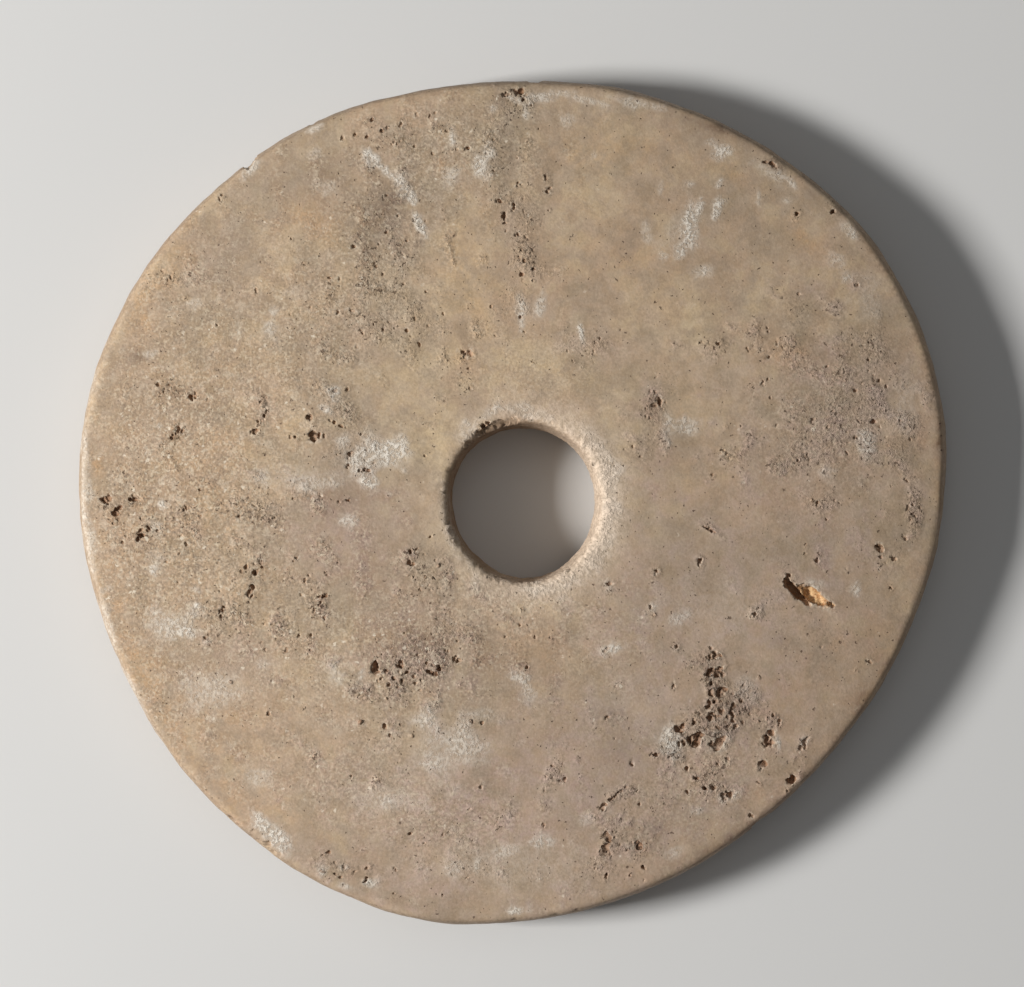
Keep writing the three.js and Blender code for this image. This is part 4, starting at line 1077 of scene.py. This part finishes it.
# %% Bump and gloss
crust = times(crumbs, spread(porous, 0.1, 0.9, 0.25, 3.2))
height = plus(times(grain, spread(sugary, 0, 1, 0.2, 0.6)), crust)
height = plus(height, times(frost_share, 0.5))
height = plus(height, times(times(lip_wear_and_highlight, crumbs), 1.2))
height = minus(height, openings)
bump = step("ShaderNodeBump", {"Strength": 1.0, "Distance": 0.6 * MM, "Height": height}, "Normal")
roughness = spread(fleck, 0.3, 0.7, 0.6, 0.7)
surface = step("ShaderNodeBsdfPrincipled", {"Base Color": colour, "Roughness": roughness, "Normal": bump,
                                            "Specular IOR Level": 0.35}, "BSDF")
links.new(surface, nodes.new("ShaderNodeOutputMaterial").inputs["Surface"])
stone.data.materials.append(limestone)
print("the finish has", len(nodes), "nodes")

# %% [markdown]
# ## Floor, light and camera
#
# The stone lies on a plain pale floor. One broad light stands low on the left, so that it grazes the face
# and every pit shows a dark side and a bright side. A weak light overhead fills the shadows.

# %% The floor
floor_mesh = bpy.data.meshes.new("floor")
floor_half = 6.0
floor_mesh.from_pydata([(-floor_half, -floor_half, 0), (floor_half, -floor_half, 0),
                        (floor_half, floor_half, 0), (-floor_half, floor_half, 0)], [], [(0, 1, 2, 3)])
floor = bpy.data.objects.new("floor", floor_mesh)
bpy.context.scene.collection.objects.link(floor)
paper = bpy.data.materials.new("pale_floor")
paper.use_nodes = True
paper.node_tree.nodes["Principled BSDF"].inputs["Base Color"].default_value = (0.62, 0.61, 0.59, 1)
paper.node_tree.nodes["Principled BSDF"].inputs["Roughness"].default_value = 0.9
floor_mesh.materials.append(paper)


# %% The lights
def soft_light(name, bearing, rise, distance, size, watts):
    """A square light at a bearing and a rise in degrees from the stone, turned to face it."""
    lamp = bpy.data.lights.new(name, "AREA")
    lamp.shape, lamp.size, lamp.energy = "SQUARE", size, watts
    made = bpy.data.objects.new(name, lamp)
    bearing, rise = np.radians(bearing), np.radians(rise)
    away = Vector((*(np.cos(rise) * toward(bearing)), np.sin(rise)))
    made.location = away * distance
    made.rotation_euler = (-away).to_track_quat("-Z", "Y").to_euler()
    bpy.context.scene.collection.objects.link(made)


soft_light("key", 184, 34, 4.0, 0.85, 224)
soft_light("fill", 70, 74, 2.6, 1.8, 5)
world = bpy.data.worlds.new("studio")
world.use_nodes = True
world.node_tree.nodes["Background"].inputs["Color"].default_value = (0.95, 0.97, 1.0, 1)
world.node_tree.nodes["Background"].inputs["Strength"].default_value = 0.13
bpy.context.scene.world = world
bpy.context.scene.view_settings.view_transform = "Standard"

# %% The camera, straight above
middle_x, middle_y = on_face(picture_width / 2, picture_height / 2, picture_scale)
camera = bpy.data.objects.new("camera", bpy.data.cameras.new("camera"))
camera.data.lens, camera.data.sensor_width = lens, sensor
camera.location = Vector((middle_x, middle_y, silhouette_height + camera_distance)) * MM
camera.data.clip_start, camera.data.clip_end = 0.05, 50
bpy.context.scene.collection.objects.link(camera)
bpy.context.scene.camera = camera
print("camera", round(camera.location.z, 3), "m above the floor")
